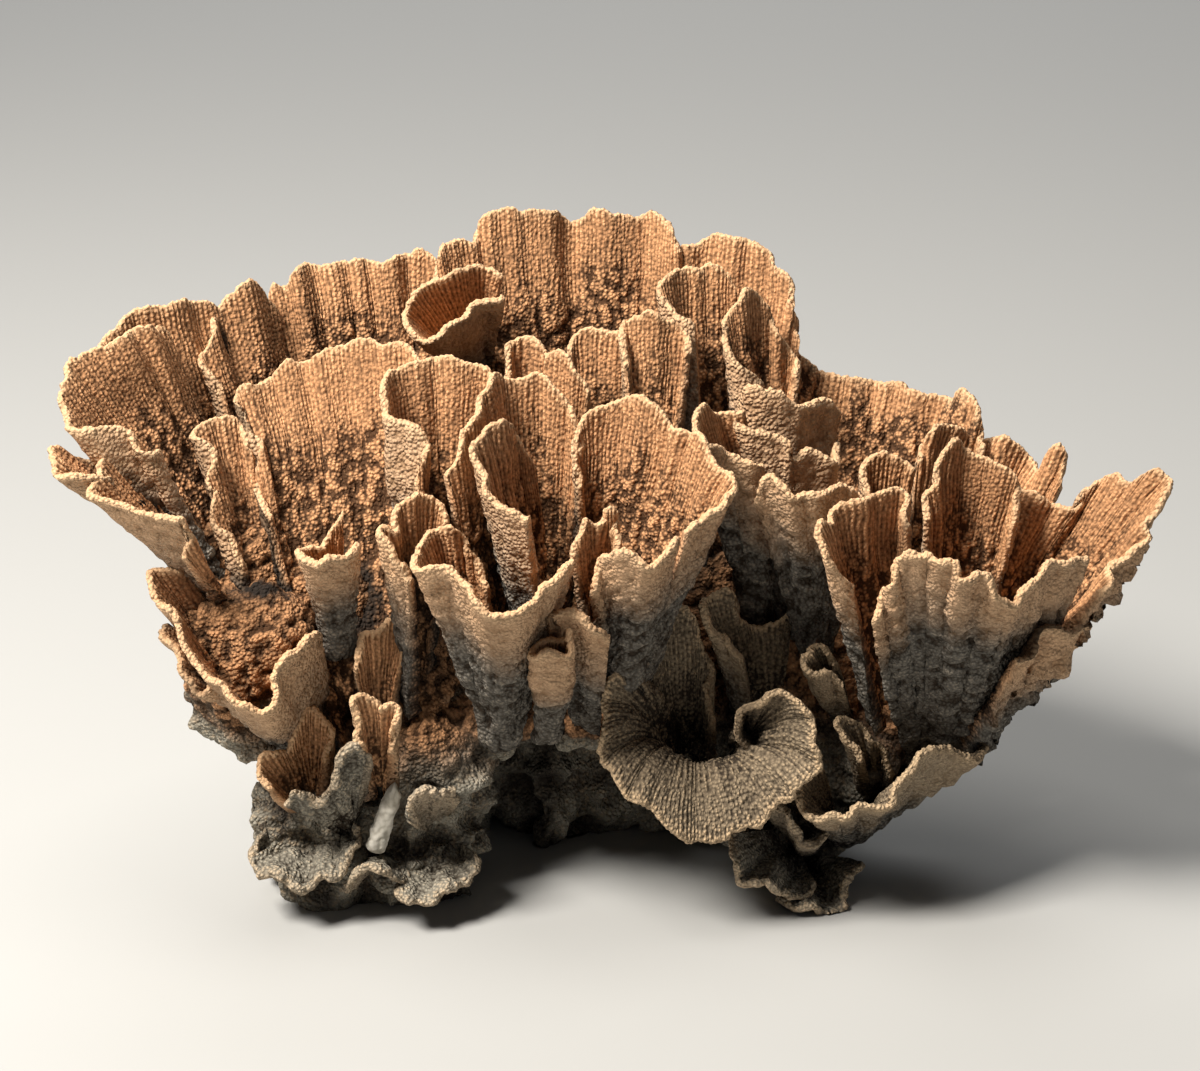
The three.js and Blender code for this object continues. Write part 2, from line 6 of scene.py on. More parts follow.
import bpy
import numpy as np
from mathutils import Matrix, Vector
from mathutils.bvhtree import BVHTree
from mathutils.kdtree import KDTree


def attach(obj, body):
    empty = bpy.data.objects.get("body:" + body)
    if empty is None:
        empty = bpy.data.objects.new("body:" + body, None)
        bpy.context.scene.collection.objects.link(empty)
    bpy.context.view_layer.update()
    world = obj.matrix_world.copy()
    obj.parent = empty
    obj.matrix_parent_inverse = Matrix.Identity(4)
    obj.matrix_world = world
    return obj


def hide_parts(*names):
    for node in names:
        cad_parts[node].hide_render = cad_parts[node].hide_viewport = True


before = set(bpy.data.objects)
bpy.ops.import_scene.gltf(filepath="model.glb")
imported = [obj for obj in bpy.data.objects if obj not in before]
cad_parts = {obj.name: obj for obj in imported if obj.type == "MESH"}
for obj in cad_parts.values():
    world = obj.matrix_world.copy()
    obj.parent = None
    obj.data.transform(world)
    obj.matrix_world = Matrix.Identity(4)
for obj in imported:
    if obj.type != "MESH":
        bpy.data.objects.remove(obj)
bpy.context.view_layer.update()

bl_info = {
    "name": "Plating coral",
    "version": (1, 0, 0),
    "blender": (4, 5, 0),
    "location": "View3D > Sidebar > Coral",
    "description": "Builds a dried plating coral over its CAD solids",
    "category": "Add Mesh",
}

MM = 0.001
BODY = "root"

# The viewer that plate positions are written for, in radians and millimetres, as in the solids.
VIEW_TILT = math.radians(20)
VIEW_DISTANCE = 900
VIEW_ACROSS = -3
VIEW_UP = 114
VIEW_WIDTH = 360
ORIGIN_BACK = 62

# How a plate's lobes even out toward its root, as in the solids.
EVENED_POINTS = 24
EVENING_PASSES = 24

# Between the seeds of one plate and of the next in its group.
SEED_STEP = 17

# How near the floor a plate may come.
FLOOR_GAP = 0.3 * MM

# Places on a plate's texture sheet, from 0 to 1 across it and along it.
SHEET_TOP_ACROSS = (0.01, 0.6)
SHEET_SIDES_ACROSS = (0.605, 0.625)
SHEET_SIDE_WIDTH = 0.012
SHEET_UNDER_START = 0.645
SHEET_UNDER_SHRINK = 0.58
SHEET_RIM_ALONG = (0.91, 0.97)

# The underside of a plate has every third column of its ridged side.
THIRD = slice(None, None, 3)

# The values that are stored at the points of a plate.
MARKS = ("relief", "rim", "under", "deep", "shut")


class Plate(NamedTuple):
    """One plate: its root and the line of its free edge, in mm across, up and back for the viewer.

    bowl is how far it bows out, spread how wide its root is against its rim, crest how high in mm a part that
    turns down arches over, ridged how far in mm the ridges run down from the rim, worn how eroded it is from
    0 to 1, and ragged how long in mm the spikes of its underside are.
    """

    name: str
    root: tuple
    rim: tuple
    bowl: float
    spread: float = 0.18
    crest: float = 0
    ridged: float = 21
    worn: float = 0
    ragged: float = 0


class Lump(NamedTuple):
    """One lump of the holdfast: its middle and half sizes, in mm in the frame."""

    at: tuple
    half: tuple


# Front left and centre
FRONT_PLATES = (
    Plate("front_cup", (-34, 52, 16), (
        (-11, 105, -8), (-17, 102, -16), (-24, 96, -22), (-32, 92, -25), (-38, 95, -24),
        (-46, 100, -20), (-54, 104, -14), (-60, 107, -6), (-58, 112, 0), (-53, 116, 5), (-46, 115, 8),
        (-41, 109, 8), (-37, 98, 4),
    ), bowl=0.55),
    Plate("left_low_bowl", (-98, 54, 22), (
        (-86, 84, 4), (-92, 82, -4), (-96, 77, -9), (-100, 70, -13), (-103, 63, -16), (-108, 64, -18),
        (-113, 63, -18), (-118, 68, -16), (-122, 70, -13), (-126, 79, -8), (-131, 89, -3),
        (-136, 95, 3), (-135, 101, 7), (-131, 103, 11), (-127, 104, 18),
    ), bowl=0.8, spread=0.3, ridged=16),
    Plate("front_left_fan", (-74, 62, 16), (
        (-104, 118, 34), (-107, 142, 46), (-112, 156, 53), (-105, 159, 56), (-97, 166, 60),
        (-91, 165, 61), (-86, 169, 63), (-77, 171, 65), (-68, 171, 64), (-59, 170, 61), (-55, 162, 57),
    ), bowl=0.7, spread=0.42),
    Plate("round_fan", (-50, 70, 30), (
        (-57, 130, 22), (-58, 144, 24), (-63, 146, 27), (-68, 150, 32), (-69, 156, 37), (-64, 162, 43),
        (-57, 165, 47), (-49, 167, 49), (-42, 166, 49), (-34, 162, 46), (-32, 152, 42),
    ), bowl=0.75, spread=0.35),
    Plate("front_fold_fan", (-18, 64, 26), (
        (-24, 119, -6), (-31, 121, -4), (-36, 127, 1), (-39, 137, 7), (-38, 145, 13), (-33, 149, 19),
        (-28, 143, 24), (-23, 132, 24),
    ), bowl=0.6, spread=0.3),
    Plate("front_centre_fan", (-24, 66, 30), (
        (-48, 132, 14), (-46, 143, 20), (-42, 150, 27), (-37, 157, 35), (-33, 162, 41), (-28, 160, 44),
        (-22, 161, 45), (-16, 157, 43), (-11, 150, 40), (-9, 138, 36),
    ), bowl=0.75, spread=0.35),
    Plate("front_right_fan", (0, 62, 28), (
        (-10, 128, 32), (-8, 147, 38), (-1, 152, 40), (8, 155, 38), (14, 152, 34), (18, 146, 29),
        (26, 144, 22), (32, 136, 13), (39, 129, 4), (31, 122, -3), (23, 114, -8),
    ), bowl=0.6, spread=0.25),
    Plate("front_lip", (3, 66, 14), (
        (23, 113, -12), (17, 107, -18), (12, 104, -20), (6, 108, -18), (-2, 108, -13), (-4, 99, -6),
    ), bowl=0.45, spread=0.4),
    Plate("front_tongue", (-3, 78, 12), (
        (-9, 108, -4), (-8, 118, -1), (-4, 117, 0), (-2, 123, 2), (2, 124, 2), (4, 119, 1),
        (5, 110, -2),
    ), bowl=0.6, spread=0.5),
    Plate("front_small_lip", (-8, 58, 18), (
        (0, 84, -12), (-5, 86, -15), (-10, 89, -15), (-17, 91, -12), (-17, 84, -6),
    ), bowl=0.5, spread=0.45),
    Plate("front_tube", (-19, 54, 8), (
        (-9, 83, -16), (-13, 78, -19), (-18, 79, -20), (-22, 78, -16), (-19, 82, -11), (-13, 84, -11),
    ), bowl=0.3, spread=0.6),
    Plate("left_small_cup", (-82, 80, 18), (
        (-74, 110, 0), (-79, 106, -6), (-85, 104, -9), (-90, 105, -7), (-93, 109, -2), (-91, 110, 3),
        (-85, 112, 8), (-80, 119, 8),
    ), bowl=0.35, spread=0.45),
    Plate("left_edge_fan", (-58, 66, 22), (
        (-60, 100, -4), (-65, 109, -2), (-68, 115, 2), (-64, 114, 6), (-63, 121, 10), (-58, 126, 13),
        (-53, 125, 13), (-50, 116, 10),
    ), bowl=0.5, spread=0.4),
)

# Left side
LEFT_PLATES = (
    Plate("left_under_lip", (-106, 62, 14), (
        (-118, 69, -8), (-123, 67, -10), (-128, 73, -8), (-131, 79, -5), (-134, 83, 0), (-131, 87, 6),
    ), bowl=0.6, spread=0.3),
    Plate("left_lip", (-120, 99, 22), (
        (-124, 106, 0), (-128, 118, -3), (-135, 118, -4), (-142, 119, -3), (-148, 121, 0),
        (-154, 128, 5), (-153, 134, 11), (-147, 140, 18), (-143, 139, 22), (-136, 131, 26),
        (-129, 124, 29),
    ), bowl=0.7, spread=0.35),
    Plate("left_narrow_fan", (-102, 78, 24), (
        (-112, 106, 22), (-117, 120, 28), (-120, 130, 32), (-119, 138, 36), (-123, 144, 40),
        (-118, 148, 45), (-113, 149, 48), (-109, 142, 46), (-106, 128, 42),
    ), bowl=0.6, spread=0.35),
    Plate("left_far_lip", (-130, 110, 26), (
        (-148, 128, 16), (-154, 132, 10), (-160, 132, 7), (-166, 131, 8), (-169, 136, 14),
        (-166, 141, 20), (-160, 138, 26), (-151, 134, 30),
    ), bowl=0.7, spread=0.35),
    Plate("left_front_fan", (-116, 104, 34), (
        (-134, 128, 22), (-140, 139, 20), (-146, 146, 19), (-153, 147, 17), (-160, 147, 18),
        (-166, 153, 24), (-163, 161, 32), (-159, 168, 38), (-151, 171, 44), (-142, 177, 52),
        (-135, 173, 60),
    ), bowl=0.75, spread=0.5),
    Plate("left_back_fan", (-98, 66, 46), (
        (-157, 167, 48), (-149, 175, 57), (-141, 180, 64), (-133, 182, 69), (-129, 184, 72),
        (-123, 183, 76), (-119, 181, 79), (-114, 170, 82), (-108, 158, 82),
    ), bowl=0.75, spread=0.5),
    Plate("left_high_fan", (-84, 70, 54), (
        (-115, 156, 62), (-119, 166, 66), (-120, 175, 72), (-116, 184, 80), (-109, 189, 86),
        (-105, 188, 89), (-101, 182, 92), (-97, 170, 92),
    ), bowl=0.7, spread=0.5),
)

# Low plates on the right, near the floor
LOW_RIGHT_PLATES = (
    Plate("low_flower", (28, 40, 24), (
        (43, 47, 6), (43, 57, 4), (46, 63, 1), (51, 64, -1), (56, 60, -4), (61, 51, -7), (61, 45, -9),
        (54, 37, -11), (45, 29, -12), (36, 24, -13), (26, 22, -13), (14, 30, -12), (4, 38, -8),
        (-2, 50, -3), (0, 62, 2), (3, 74, 6), (7, 76, 9), (9, 68, 12),
    ), bowl=0.5, spread=0.45, crest=46),
    Plate("low_petal", (22, 42, 30), (
        (10, 58, 16), (10, 78, 18), (13, 88, 21), (18, 92, 23), (22, 92, 24), (26, 87, 25),
        (28, 78, 25), (29, 68, 24), (31, 56, 23),
    ), bowl=0.65, spread=0.6),
    Plate("low_right_cup", (72, 24, 34), (
        (92, 62, 40), (104, 55, 32), (114, 50, 24), (110, 45, 14), (100, 50, 4), (93, 48, -2),
        (86, 40, -6), (79, 33, -9), (70, 30, -11), (61, 31, -9), (57, 37, -4), (60, 42, 3),
        (64, 44, 10),
    ), bowl=0.6, ragged=1.5),
    Plate("low_inner_blade", (79, 36, 32), (
        (74, 46, 10), (73, 50, 12), (69, 58, 14), (74, 58, 20), (82, 50, 24), (85, 42, 24),
    ), bowl=0.5, spread=0.3),
    Plate("low_shelf_fan", (72, 56, 42), (
        (70, 69, 18), (65, 71, 13), (60, 73, 12), (56, 77, 14), (59, 80, 19), (64, 80, 23),
        (69, 76, 26),
    ), bowl=0.5, spread=0.3),
    Plate("low_back_fan", (44, 52, 44), (
        (40, 78, 24), (32, 83, 22), (25, 92, 26), (27, 95, 30), (35, 98, 34), (38, 91, 36),
        (45, 87, 38), (54, 90, 40),
    ), bowl=0.6),
    Plate("low_foot_ledge", (52, 22, 30), (
        (60, 12, 8), (58, 8, 3), (51, 9, -3), (44, 11, -6), (40, 14, -6), (38, 19, -3), (38, 25, 3),
    ), bowl=0.55, spread=0.3, worn=0.5),
    Plate("low_foot_plate", (58, 14, 32), (
        (74, 17, 15), (71, 11, 9), (69, 7, 7), (69, 2, 2), (63, 1, 0), (56, 3, 0), (50, 6, 3),
    ), bowl=0.55, spread=0.3, worn=0.5),
    Plate("low_foot_shelf", (58, 20, 34), (
        (64, 26, 10), (62, 20, 4), (56, 21, 0), (51, 29, -1), (48, 32, 6),
    ), bowl=0.5, worn=0.5),
)

# Right side
RIGHT_PLATES = (
    Plate("right_vase_front", (100, 46, 34), (
        (143, 106, 6), (134, 104, -4), (127, 99, -10), (120, 92, -14), (113, 102, -17),
        (107, 102, -18), (104, 106, -18), (95, 106, -17), (90, 108, -15), (84, 98, -10), (79, 89, -4),
    ), bowl=0.65, spread=0.3, ragged=1.5),
    Plate("right_wing", (106, 56, 40), (
        (121, 127, 44), (129, 126, 44), (138, 121, 42), (144, 128, 42), (151, 132, 40), (158, 130, 36),
        (165, 133, 32), (168, 128, 27), (162, 114, 20), (155, 104, 14), (147, 96, 8),
    ), bowl=0.6, spread=0.25, ragged=6),
    Plate("right_folded_fan", (82, 62, 26), (
        (72, 97, 0), (66, 108, -2), (63, 118, 2), (67, 118, 6), (70, 124, 10), (76, 126, 15),
        (83, 127, 17), (89, 126, 17), (87, 116, 14),
    ), bowl=0.5, spread=0.4),
    Plate("right_inner_fan", (98, 50, 42), (
        (95, 118, 28), (98, 131, 34), (104, 141, 38), (109, 139, 40), (116, 136, 40), (122, 132, 38),
        (122, 118, 34),
    ), bowl=0.55, spread=0.3),
    Plate("right_ledge", (104, 48, 30), (
        (144, 92, 22), (143, 86, 14), (138, 86, 8), (130, 84, 2), (122, 76, -3),
    ), bowl=0.5, ragged=5),
    Plate("right_tier_front", (62, 76, 42), (
        (77, 122, 30), (70, 129, 24), (62, 127, 18), (56, 126, 16), (52, 129, 17), (47, 131, 22),
        (44, 122, 28),
    ), bowl=0.4),
    Plate("right_tier_fan", (46, 78, 54), (
        (45, 136, 34), (36, 137, 29), (29, 142, 28), (25, 147, 32), (28, 152, 39), (33, 150, 43),
        (40, 152, 46),
    ), bowl=0.6, spread=0.25),
    Plate("right_tier_middle", (56, 84, 50), (
        (68, 140, 56), (65, 136, 49), (59, 138, 44), (54, 134, 41), (52, 141, 41), (45, 144, 41),
        (39, 149, 45),
    ), bowl=0.4, spread=0.3),
    Plate("right_tier_top", (54, 92, 58), (
        (68, 152, 70), (64, 154, 64), (59, 151, 58), (53, 155, 53), (47, 156, 51), (41, 158, 53),
        (39, 149, 60),
    ), bowl=0.4, spread=0.3),
    Plate("right_round_fan", (76, 72, 54), (
        (74, 126, 46), (77, 135, 50), (82, 138, 52), (87, 136, 52), (91, 133, 50),
    ), bowl=0.55, spread=0.3),
    Plate("right_rear_fan", (96, 72, 50), (
        (92, 134, 60), (97, 146, 64), (103, 147, 68), (112, 143, 72), (119, 144, 72), (125, 139, 68),
        (129, 134, 64), (136, 141, 62), (134, 128, 56),
    ), bowl=0.6, spread=0.35),
)

# Middle row
MIDDLE_PLATES = (
    Plate("middle_narrow_fan", (13, 94, 54), (
        (4, 164, 66), (5, 174, 70), (8, 179, 73), (12, 181, 74), (17, 178, 73), (21, 175, 71),
        (22, 170, 68),
    ), bowl=0.55, spread=0.25),
    Plate("middle_fan", (-4, 88, 60), (
        (-12, 160, 70), (-11, 172, 74), (-6, 175, 76), (0, 175, 76), (5, 173, 75), (5, 163, 71),
    ), bowl=0.6, spread=0.36),
    Plate("middle_small_fan", (-20, 88, 60), (
        (-31, 162, 62), (-29, 171, 66), (-24, 173, 66), (-21, 168, 62), (-15, 168, 60), (-11, 165, 58),
        (-6, 156, 54),
    ), bowl=0.6, spread=0.3),
    Plate("curled_cup", (-42, 164, 102), (
        (-34, 186, 80), (-41, 181, 74), (-46, 178, 70), (-51, 174, 67), (-60, 174, 70), (-60, 181, 76),
        (-55, 188, 82), (-50, 190, 87), (-45, 194, 91), (-38, 194, 92), (-33, 191, 90),
    ), bowl=0.55, spread=0.4),
    Plate("middle_right_fan", (30, 98, 64), (
        (25, 176, 74), (18, 181, 78), (15, 188, 84), (18, 192, 89), (26, 194, 93), (33, 195, 94),
        (37, 186, 90),
    ), bowl=0.6, spread=0.3),
    Plate("right_shoulder_fan", (46, 100, 66), (
        (45, 160, 70), (37, 169, 74), (33, 177, 78), (38, 186, 85), (44, 187, 88), (48, 180, 86),
        (52, 170, 84), (55, 164, 80),
    ), bowl=0.5, spread=0.3),
)

# Back row, left to right
BACK_PLATES = (
    Plate("back_left_fan", (-60, 66, 62), (
        (-101, 178, 93), (-101, 189, 97), (-97, 188, 99), (-93, 195, 102), (-88, 195, 104),
        (-85, 194, 105), (-77, 197, 108), (-71, 195, 109), (-63, 198, 111), (-53, 198, 112),
        (-46, 186, 108),
    ), bowl=0.65, spread=0.55),
    Plate("back_centre_fan", (-12, 66, 70), (
        (-53, 186, 102), (-50, 201, 107), (-46, 203, 110), (-41, 202, 112), (-38, 208, 115),
        (-28, 211, 119), (-18, 210, 121), (-11, 208, 122), (-3, 211, 122), (7, 210, 121),
        (15, 209, 118), (19, 206, 115), (21, 198, 110),
    ), bowl=0.72, spread=0.55),
    Plate("back_right_fan", (28, 68, 68), (
        (16, 188, 110), (22, 200, 113), (29, 202, 114), (34, 203, 114), (42, 201, 112), (48, 199, 109),
        (51, 194, 105), (54, 191, 101), (54, 180, 96), (56, 171, 92),
    ), bowl=0.7, spread=0.55),
    Plate("right_back_wall", (72, 62, 56), (
        (53, 172, 100), (60, 165, 101), (66, 161, 101), (78, 160, 100), (84, 159, 97), (92, 156, 93),
        (101, 155, 88), (107, 156, 82), (113, 149, 74), (110, 138, 66),
    ), bowl=0.85, spread=0.45, ridged=7),
)

# Small plates on the left foot
FOOT_PLATES = (
    Plate("foot_left_ledge", (-88, 26, 20), (
        (-74, 25, 2), (-77, 21, -3), (-82, 16, -7), (-88, 11, -10), (-92, 8, -11), (-98, 11, -9),
        (-104, 15, -4), (-107, 18, 3), (-104, 27, 10),
    ), bowl=0.5, spread=0.4, worn=1),
    Plate("foot_middle_ledge", (-68, 20, 16), (
        (-60, 13, -2), (-63, 11, -6), (-67, 12, -8), (-71, 13, -9), (-76, 11, -8), (-79, 7, -6),
    ), bowl=0.5, spread=0.4, worn=1),
    Plate("foot_right_dish", (-52, 20, 18), (
        (-41, 19, 6), (-40, 16, 1), (-44, 9, -5), (-50, 6, -9), (-55, 5, -11), (-60, 7, -10),
        (-63, 10, -6),
    ), bowl=0.7, spread=0.35, worn=1),
    Plate("foot_upper_ledge", (-53, 28, 16), (
        (-46, 33, 2), (-48, 39, -2), (-51, 38, -5), (-52, 34, -7), (-56, 35, -9), (-60, 33, -8),
        (-61, 28, -3),
    ), bowl=0.6, spread=0.4, worn=1),
    Plate("foot_pale_fan", (-69, 38, 6), (
        (-75, 50, -8), (-77, 64, -6), (-73, 64, -5), (-69, 61, -5), (-65, 61, -4), (-64, 50, -2),
    ), bowl=0.5, spread=0.5),
    Plate("foot_knob_fan", (-69, 62, 14), (
        (-77, 74, 10), (-75, 81, 10), (-73, 85, 11), (-69, 85, 12), (-65, 88, 13), (-62, 78, 12),
    ), bowl=0.5, spread=0.5),
    Plate("foot_front_fan", (-78, 26, 8), (
        (-96, 32, -8), (-96, 38, -8), (-91, 39, -8), (-86, 35, -9), (-84, 39, -10), (-79, 48, -9),
        (-75, 50, -8), (-74, 44, -6),
    ), bowl=0.5, worn=1),
    Plate("foot_brown_fan", (-90, 35, 10), (
        (-102, 37, -4), (-103, 46, -2), (-96, 48, 2), (-93, 57, 4), (-89, 62, 6), (-84, 57, 5),
        (-83, 47, 2),
    ), bowl=0.5, spread=0.4),
)

ALL_PLATES = (
    FRONT_PLATES + LEFT_PLATES + LOW_RIGHT_PLATES + RIGHT_PLATES + MIDDLE_PLATES + BACK_PLATES + FOOT_PLATES)

LUMPS = (
    # Left foot
    Lump((-72, -34, 14), (32, 26, 22)),
    Lump((-93, -42, 24), (16, 15, 15)),
    Lump((-84, -50, 5), (16, 10, 9)),
    Lump((-56, -48, 5), (15, 10, 8)),
    Lump((-82, -28, 40), (24, 20, 22)),
    Lump((-52, -34, 38), (18, 18, 20)),
    # The arch between the feet, with its column
    Lump((-34, -30, 51), (18, 16, 9)),
    Lump((-2, -28, 53), (26, 18, 9)),
    Lump((-19, -14, 28), (4.5, 4.5, 32)),
    # The slopes that the left plates grow from
    Lump((-107, -42, 74), (22, 15, 28)),
    Lump((-112, -24, 90), (20, 14, 22)),
    Lump((-84, -26, 80), (24, 13, 24)),
    Lump((-58, -28, 68), (18, 14, 24)),
    # Rear trunk
    Lump((-62, 4, 42), (34, 20, 50)),
    Lump((-14, 8, 40), (40, 22, 54)),
    Lump((28, 4, 44), (32, 20, 50)),
    Lump((64, -6, 44), (30, 18, 30)),
    Lump((92, -14, 38), (20, 15, 17)),
    # Right foot
    Lump((58, -20, 14), (19, 15, 24)),
    Lump((36, -36, 26), (12, 13, 13)),
    Lump((77, -21, 30), (15, 14, 15)),
)

# The stub of a broken branch, as the viewer sees it.
FINGER_FOOT = (-71, 19, -2)
FINGER_TIP = (-64, 39, 2)


class Lamp(NamedTuple):
    """A soft square light: where it is and what it looks at in metres, its side, its power and its tint."""

    name: str
    place: tuple
    aim: tuple
    side: float
    power: float
    tint: tuple


COLONY_MIDDLE = (0, 0, 0.09)
LAMPS = (
    Lamp("key", (-0.75, -0.45, 1.2), COLONY_MIDDLE, 0.45, 42, (1.0, 0.95, 0.88)),
    Lamp("top", (-0.1, 0.1, 1.5), COLONY_MIDDLE, 0.7, 8, (1.0, 0.97, 0.92)),
    Lamp("backdrop", (0, 2.4, 2.2), (0, 2.6, 0), 2.0, 45, (1.0, 1.0, 1.0)),
    Lamp("fill", (0.9, -0.9, 0.5), COLONY_MIDDLE, 0.9, 0.5, (0.92, 0.96, 1.0)),
)
SKY_TINT = (0.86, 0.92, 1.0, 1)
SKY_STRENGTH = 0.04
FLOOR_HALF = 6.0


class CoralSizes(bpy.types.PropertyGroup):
    """Sizes of the relief and of the meshes."""

    rim_thickness: bpy.props.FloatProperty(
        name="Rim thickness", description="Thickness of a plate at its free edge", default=2.0 * MM,
        unit="LENGTH")
    root_thickness: bpy.props.FloatProperty(
        name="Root thickness", description="Thickness of a plate where it starts", default=3.8 * MM,
        unit="LENGTH")
    ridge_spacing: bpy.props.FloatProperty(
        name="Ridge spacing", description="Distance between the radial ridges at the rim", default=1.75 * MM,
        unit="LENGTH")
    ridge_height: bpy.props.FloatProperty(
        name="Ridge height", description="How far the ridges stand out", default=0.95 * MM, unit="LENGTH")
    nodule_size: bpy.props.FloatProperty(
        name="Nodule size", description="Distance between the nodules low on a plate", default=3.2 * MM,
        unit="LENGTH")
    nodule_height: bpy.props.FloatProperty(
        name="Nodule height", description="How far the nodules stand out", default=2.3 * MM, unit="LENGTH")
    nub_size: bpy.props.FloatProperty(
        name="Nub size", description="Distance between the nubs of the underside", default=3.0 * MM,
        unit="LENGTH")
    nub_height: bpy.props.FloatProperty(
        name="Nub height", description="How far the nubs stand out", default=2.0 * MM, unit="LENGTH")
    column_width: bpy.props.FloatProperty(
        name="Column width", description="Width of a mesh column at the rim", default=0.52 * MM,
        unit="LENGTH")
    row_height: bpy.props.FloatProperty(
        name="Row height", description="Height of a mesh row", default=1.9 * MM, unit="LENGTH")
    ruffle: bpy.props.FloatProperty(
        name="Ruffle", description="How far a rim waves out of its plate", default=2.2 * MM, unit="LENGTH")
    holdfast_voxel: bpy.props.FloatProperty(
        name="Holdfast voxel", description="Grain of the holdfast's mesh", default=1.3 * MM, unit="LENGTH")
    finger_thickness: bpy.props.FloatProperty(
        name="Finger thickness", description="Thickness of the broken branch stub", default=6.4 * MM,
        unit="LENGTH")


class CoralColours(bpy.types.PropertyGroup):
    """Colours of the dried skeleton and of the floor; some of them stand partly or wholly for painted shade.
    """

    tan: bpy.props.FloatVectorProperty(
        name="Tan", description="Ridges of the upper side", subtype="COLOR", default=(0.70, 0.357, 0.168))
    cream: bpy.props.FloatVectorProperty(
        name="Cream", description="Free edges and worn ridges", subtype="COLOR", default=(0.76, 0.53, 0.31))
    # Partly the coral's own brown, partly painted shade in grooves and recesses.
    brown: bpy.props.FloatVectorProperty(
        name="Brown", description="Grooves and deep recesses", subtype="COLOR", default=(0.075, 0.034, 0.014))
    # Partly the outer side's own grey, partly painted shade: darkened and cooled to stand for shaded
    # undersides.
    underside: bpy.props.FloatVectorProperty(
        name="Underside", description="Outer side of the plates", subtype="COLOR",
        default=(0.31, 0.29, 0.25))
    # Partly dust, partly painted shade: the low plates under the overhang are greyer and darker.
    dust_and_shade: bpy.props.FloatVectorProperty(
        name="Dust", description="Ridges of the plates near the floor", subtype="COLOR",
        default=(0.34, 0.26, 0.17))
    holdfast: bpy.props.FloatVectorProperty(
        name="Holdfast", description="Eroded foot", subtype="COLOR", default=(0.35, 0.32, 0.255))
    grime: bpy.props.FloatVectorProperty(
        name="Grime", description="Dirt in the pits of the foot", subtype="COLOR",
        default=(0.045, 0.032, 0.021))
    # Painted shade: the dark colour laid into the recesses where the colony is closed in.
    painted_shade: bpy.props.FloatVectorProperty(
        name="Stain", description="Dark stain in the recesses", subtype="COLOR", default=(0.02, 0.014, 0.01))
    bleached: bpy.props.FloatVectorProperty(
        name="Bleached", description="Broken branch stub", subtype="COLOR", default=(0.66, 0.62, 0.54))
    floor: bpy.props.FloatVectorProperty(
        name="Floor", description="Studio floor", subtype="COLOR", default=(0.42, 0.42, 0.41))


# Lines and noise. The last number that a noise is given is its seed.

def eye_point():
    """Where the viewer stands, in mm from the front of the foot."""
    sine = math.sin(VIEW_TILT)
    cosine = math.cos(VIEW_TILT)
    back = VIEW_UP * sine - VIEW_DISTANCE * cosine
    return np.array((VIEW_ACROSS, back, VIEW_UP * cosine + VIEW_DISTANCE * sine))


def in_frame(place):
    """A place measured from the front of the foot in mm, as metres in the frame."""
    return (place - np.array((0, ORIGIN_BACK, 0))) * MM


def seen(points):
    """Points written as the viewer sees them, as metres in the frame."""
    points = np.atleast_2d(np.asarray(points, float))
    eye = eye_point()
    across, up, back = points.T
    on_plane = np.column_stack((across, up * math.sin(VIEW_TILT), up * math.cos(VIEW_TILT)))
    ray = on_plane - eye
    reach = (back - eye[1]) / ray[:, 1]
    return in_frame(eye + ray * reach[:, None])


def smooth_line(points, per_span=24):
    """A smooth line through points, as a close polyline."""
    knots = np.vstack((2 * points[0] - points[1], points, 2 * points[-1] - points[-2]))
    gap = np.sqrt(np.linalg.norm(np.diff(knots, axis=0), axis=1))[:, None]
    before, start, end, after = knots[:-3], knots[1:-2], knots[2:-1], knots[3:]
    first, span, last = gap[:-2], gap[1:-1], gap[2:]
    leave = ((start - before) / first - (end - before) / (first + span) + (end - start) / span) * span
    arrive = ((end - start) / span - (after - start) / (span + last) + (after - end) / last) * span
    share = (np.arange(per_span) / per_span)[None, :, None]
    square = (3 * (end - start) - 2 * leave - arrive)[:, None]
    cube = (2 * (start - end) + leave + arrive)[:, None]
    line = start[:, None] + leave[:, None] * share + square * share**2 + cube * share**3
    return np.vstack((line.reshape(-1, 3), points[-1:]))


def spaced(line, spans):
    """The points that cut a polyline into equal spans."""
    run = np.concatenate(([0], np.cumsum(np.linalg.norm(np.diff(line, axis=0), axis=1))))
    stops = np.linspace(0, run[-1], spans + 1)
    return np.column_stack([np.interp(stops, run, line[:, k]) for k in range(3)])


def evened(points):
    """A line with its lobes evened out, its ends kept."""
    line = points.copy()
    for _ in range(EVENING_PASSES):
        line[1:-1] = (2 * line[1:-1] + line[:-2] + line[2:]) / 4
    return line


def step(low, high, value):
    """A smooth step from 0 at low to 1 at high."""
    share = np.clip((value - low) / (high - low), 0, 1)
    return share * share * (3 - 2 * share)


def scatter(cells, seed):
    """Repeatable numbers from 0 to 1, one for each whole-number cell, made by mixing its bits."""
    x, y, z = (cells[..., k].astype(np.int64) for k in range(3))
    mixed = (x * 73856093) ^ (y * 19349663) ^ (z * 83492791) ^ (seed * 2654435761)
    mixed = ((mixed ^ (mixed >> 13)) * 1274126177) & 0xFFFFFFFF
    mixed = ((mixed ^ (mixed >> 15)) * 2246822519) & 0xFFFFFFFF
    return ((mixed ^ (mixed >> 16)) & 0xFFFFFF) / 0xFFFFFF


def drift(points, scale, seed):
    """Smooth noise from -1 to 1 over points, with features about one scale wide."""
    place = points / scale
    cell = np.floor(place)
    part = place - cell
    part = part * part * (3 - 2 * part)
    total = np.zeros(points.shape[:-1])
    for dx in (0, 1):
        for dy in (0, 1):
            for dz in (0, 1):
                corner = np.array((dx, dy, dz))
                weight = np.prod(np.where(corner == 1, part, 1 - part), axis=-1)
                total += weight * scatter(cell + corner, seed)
    return total * 2 - 1


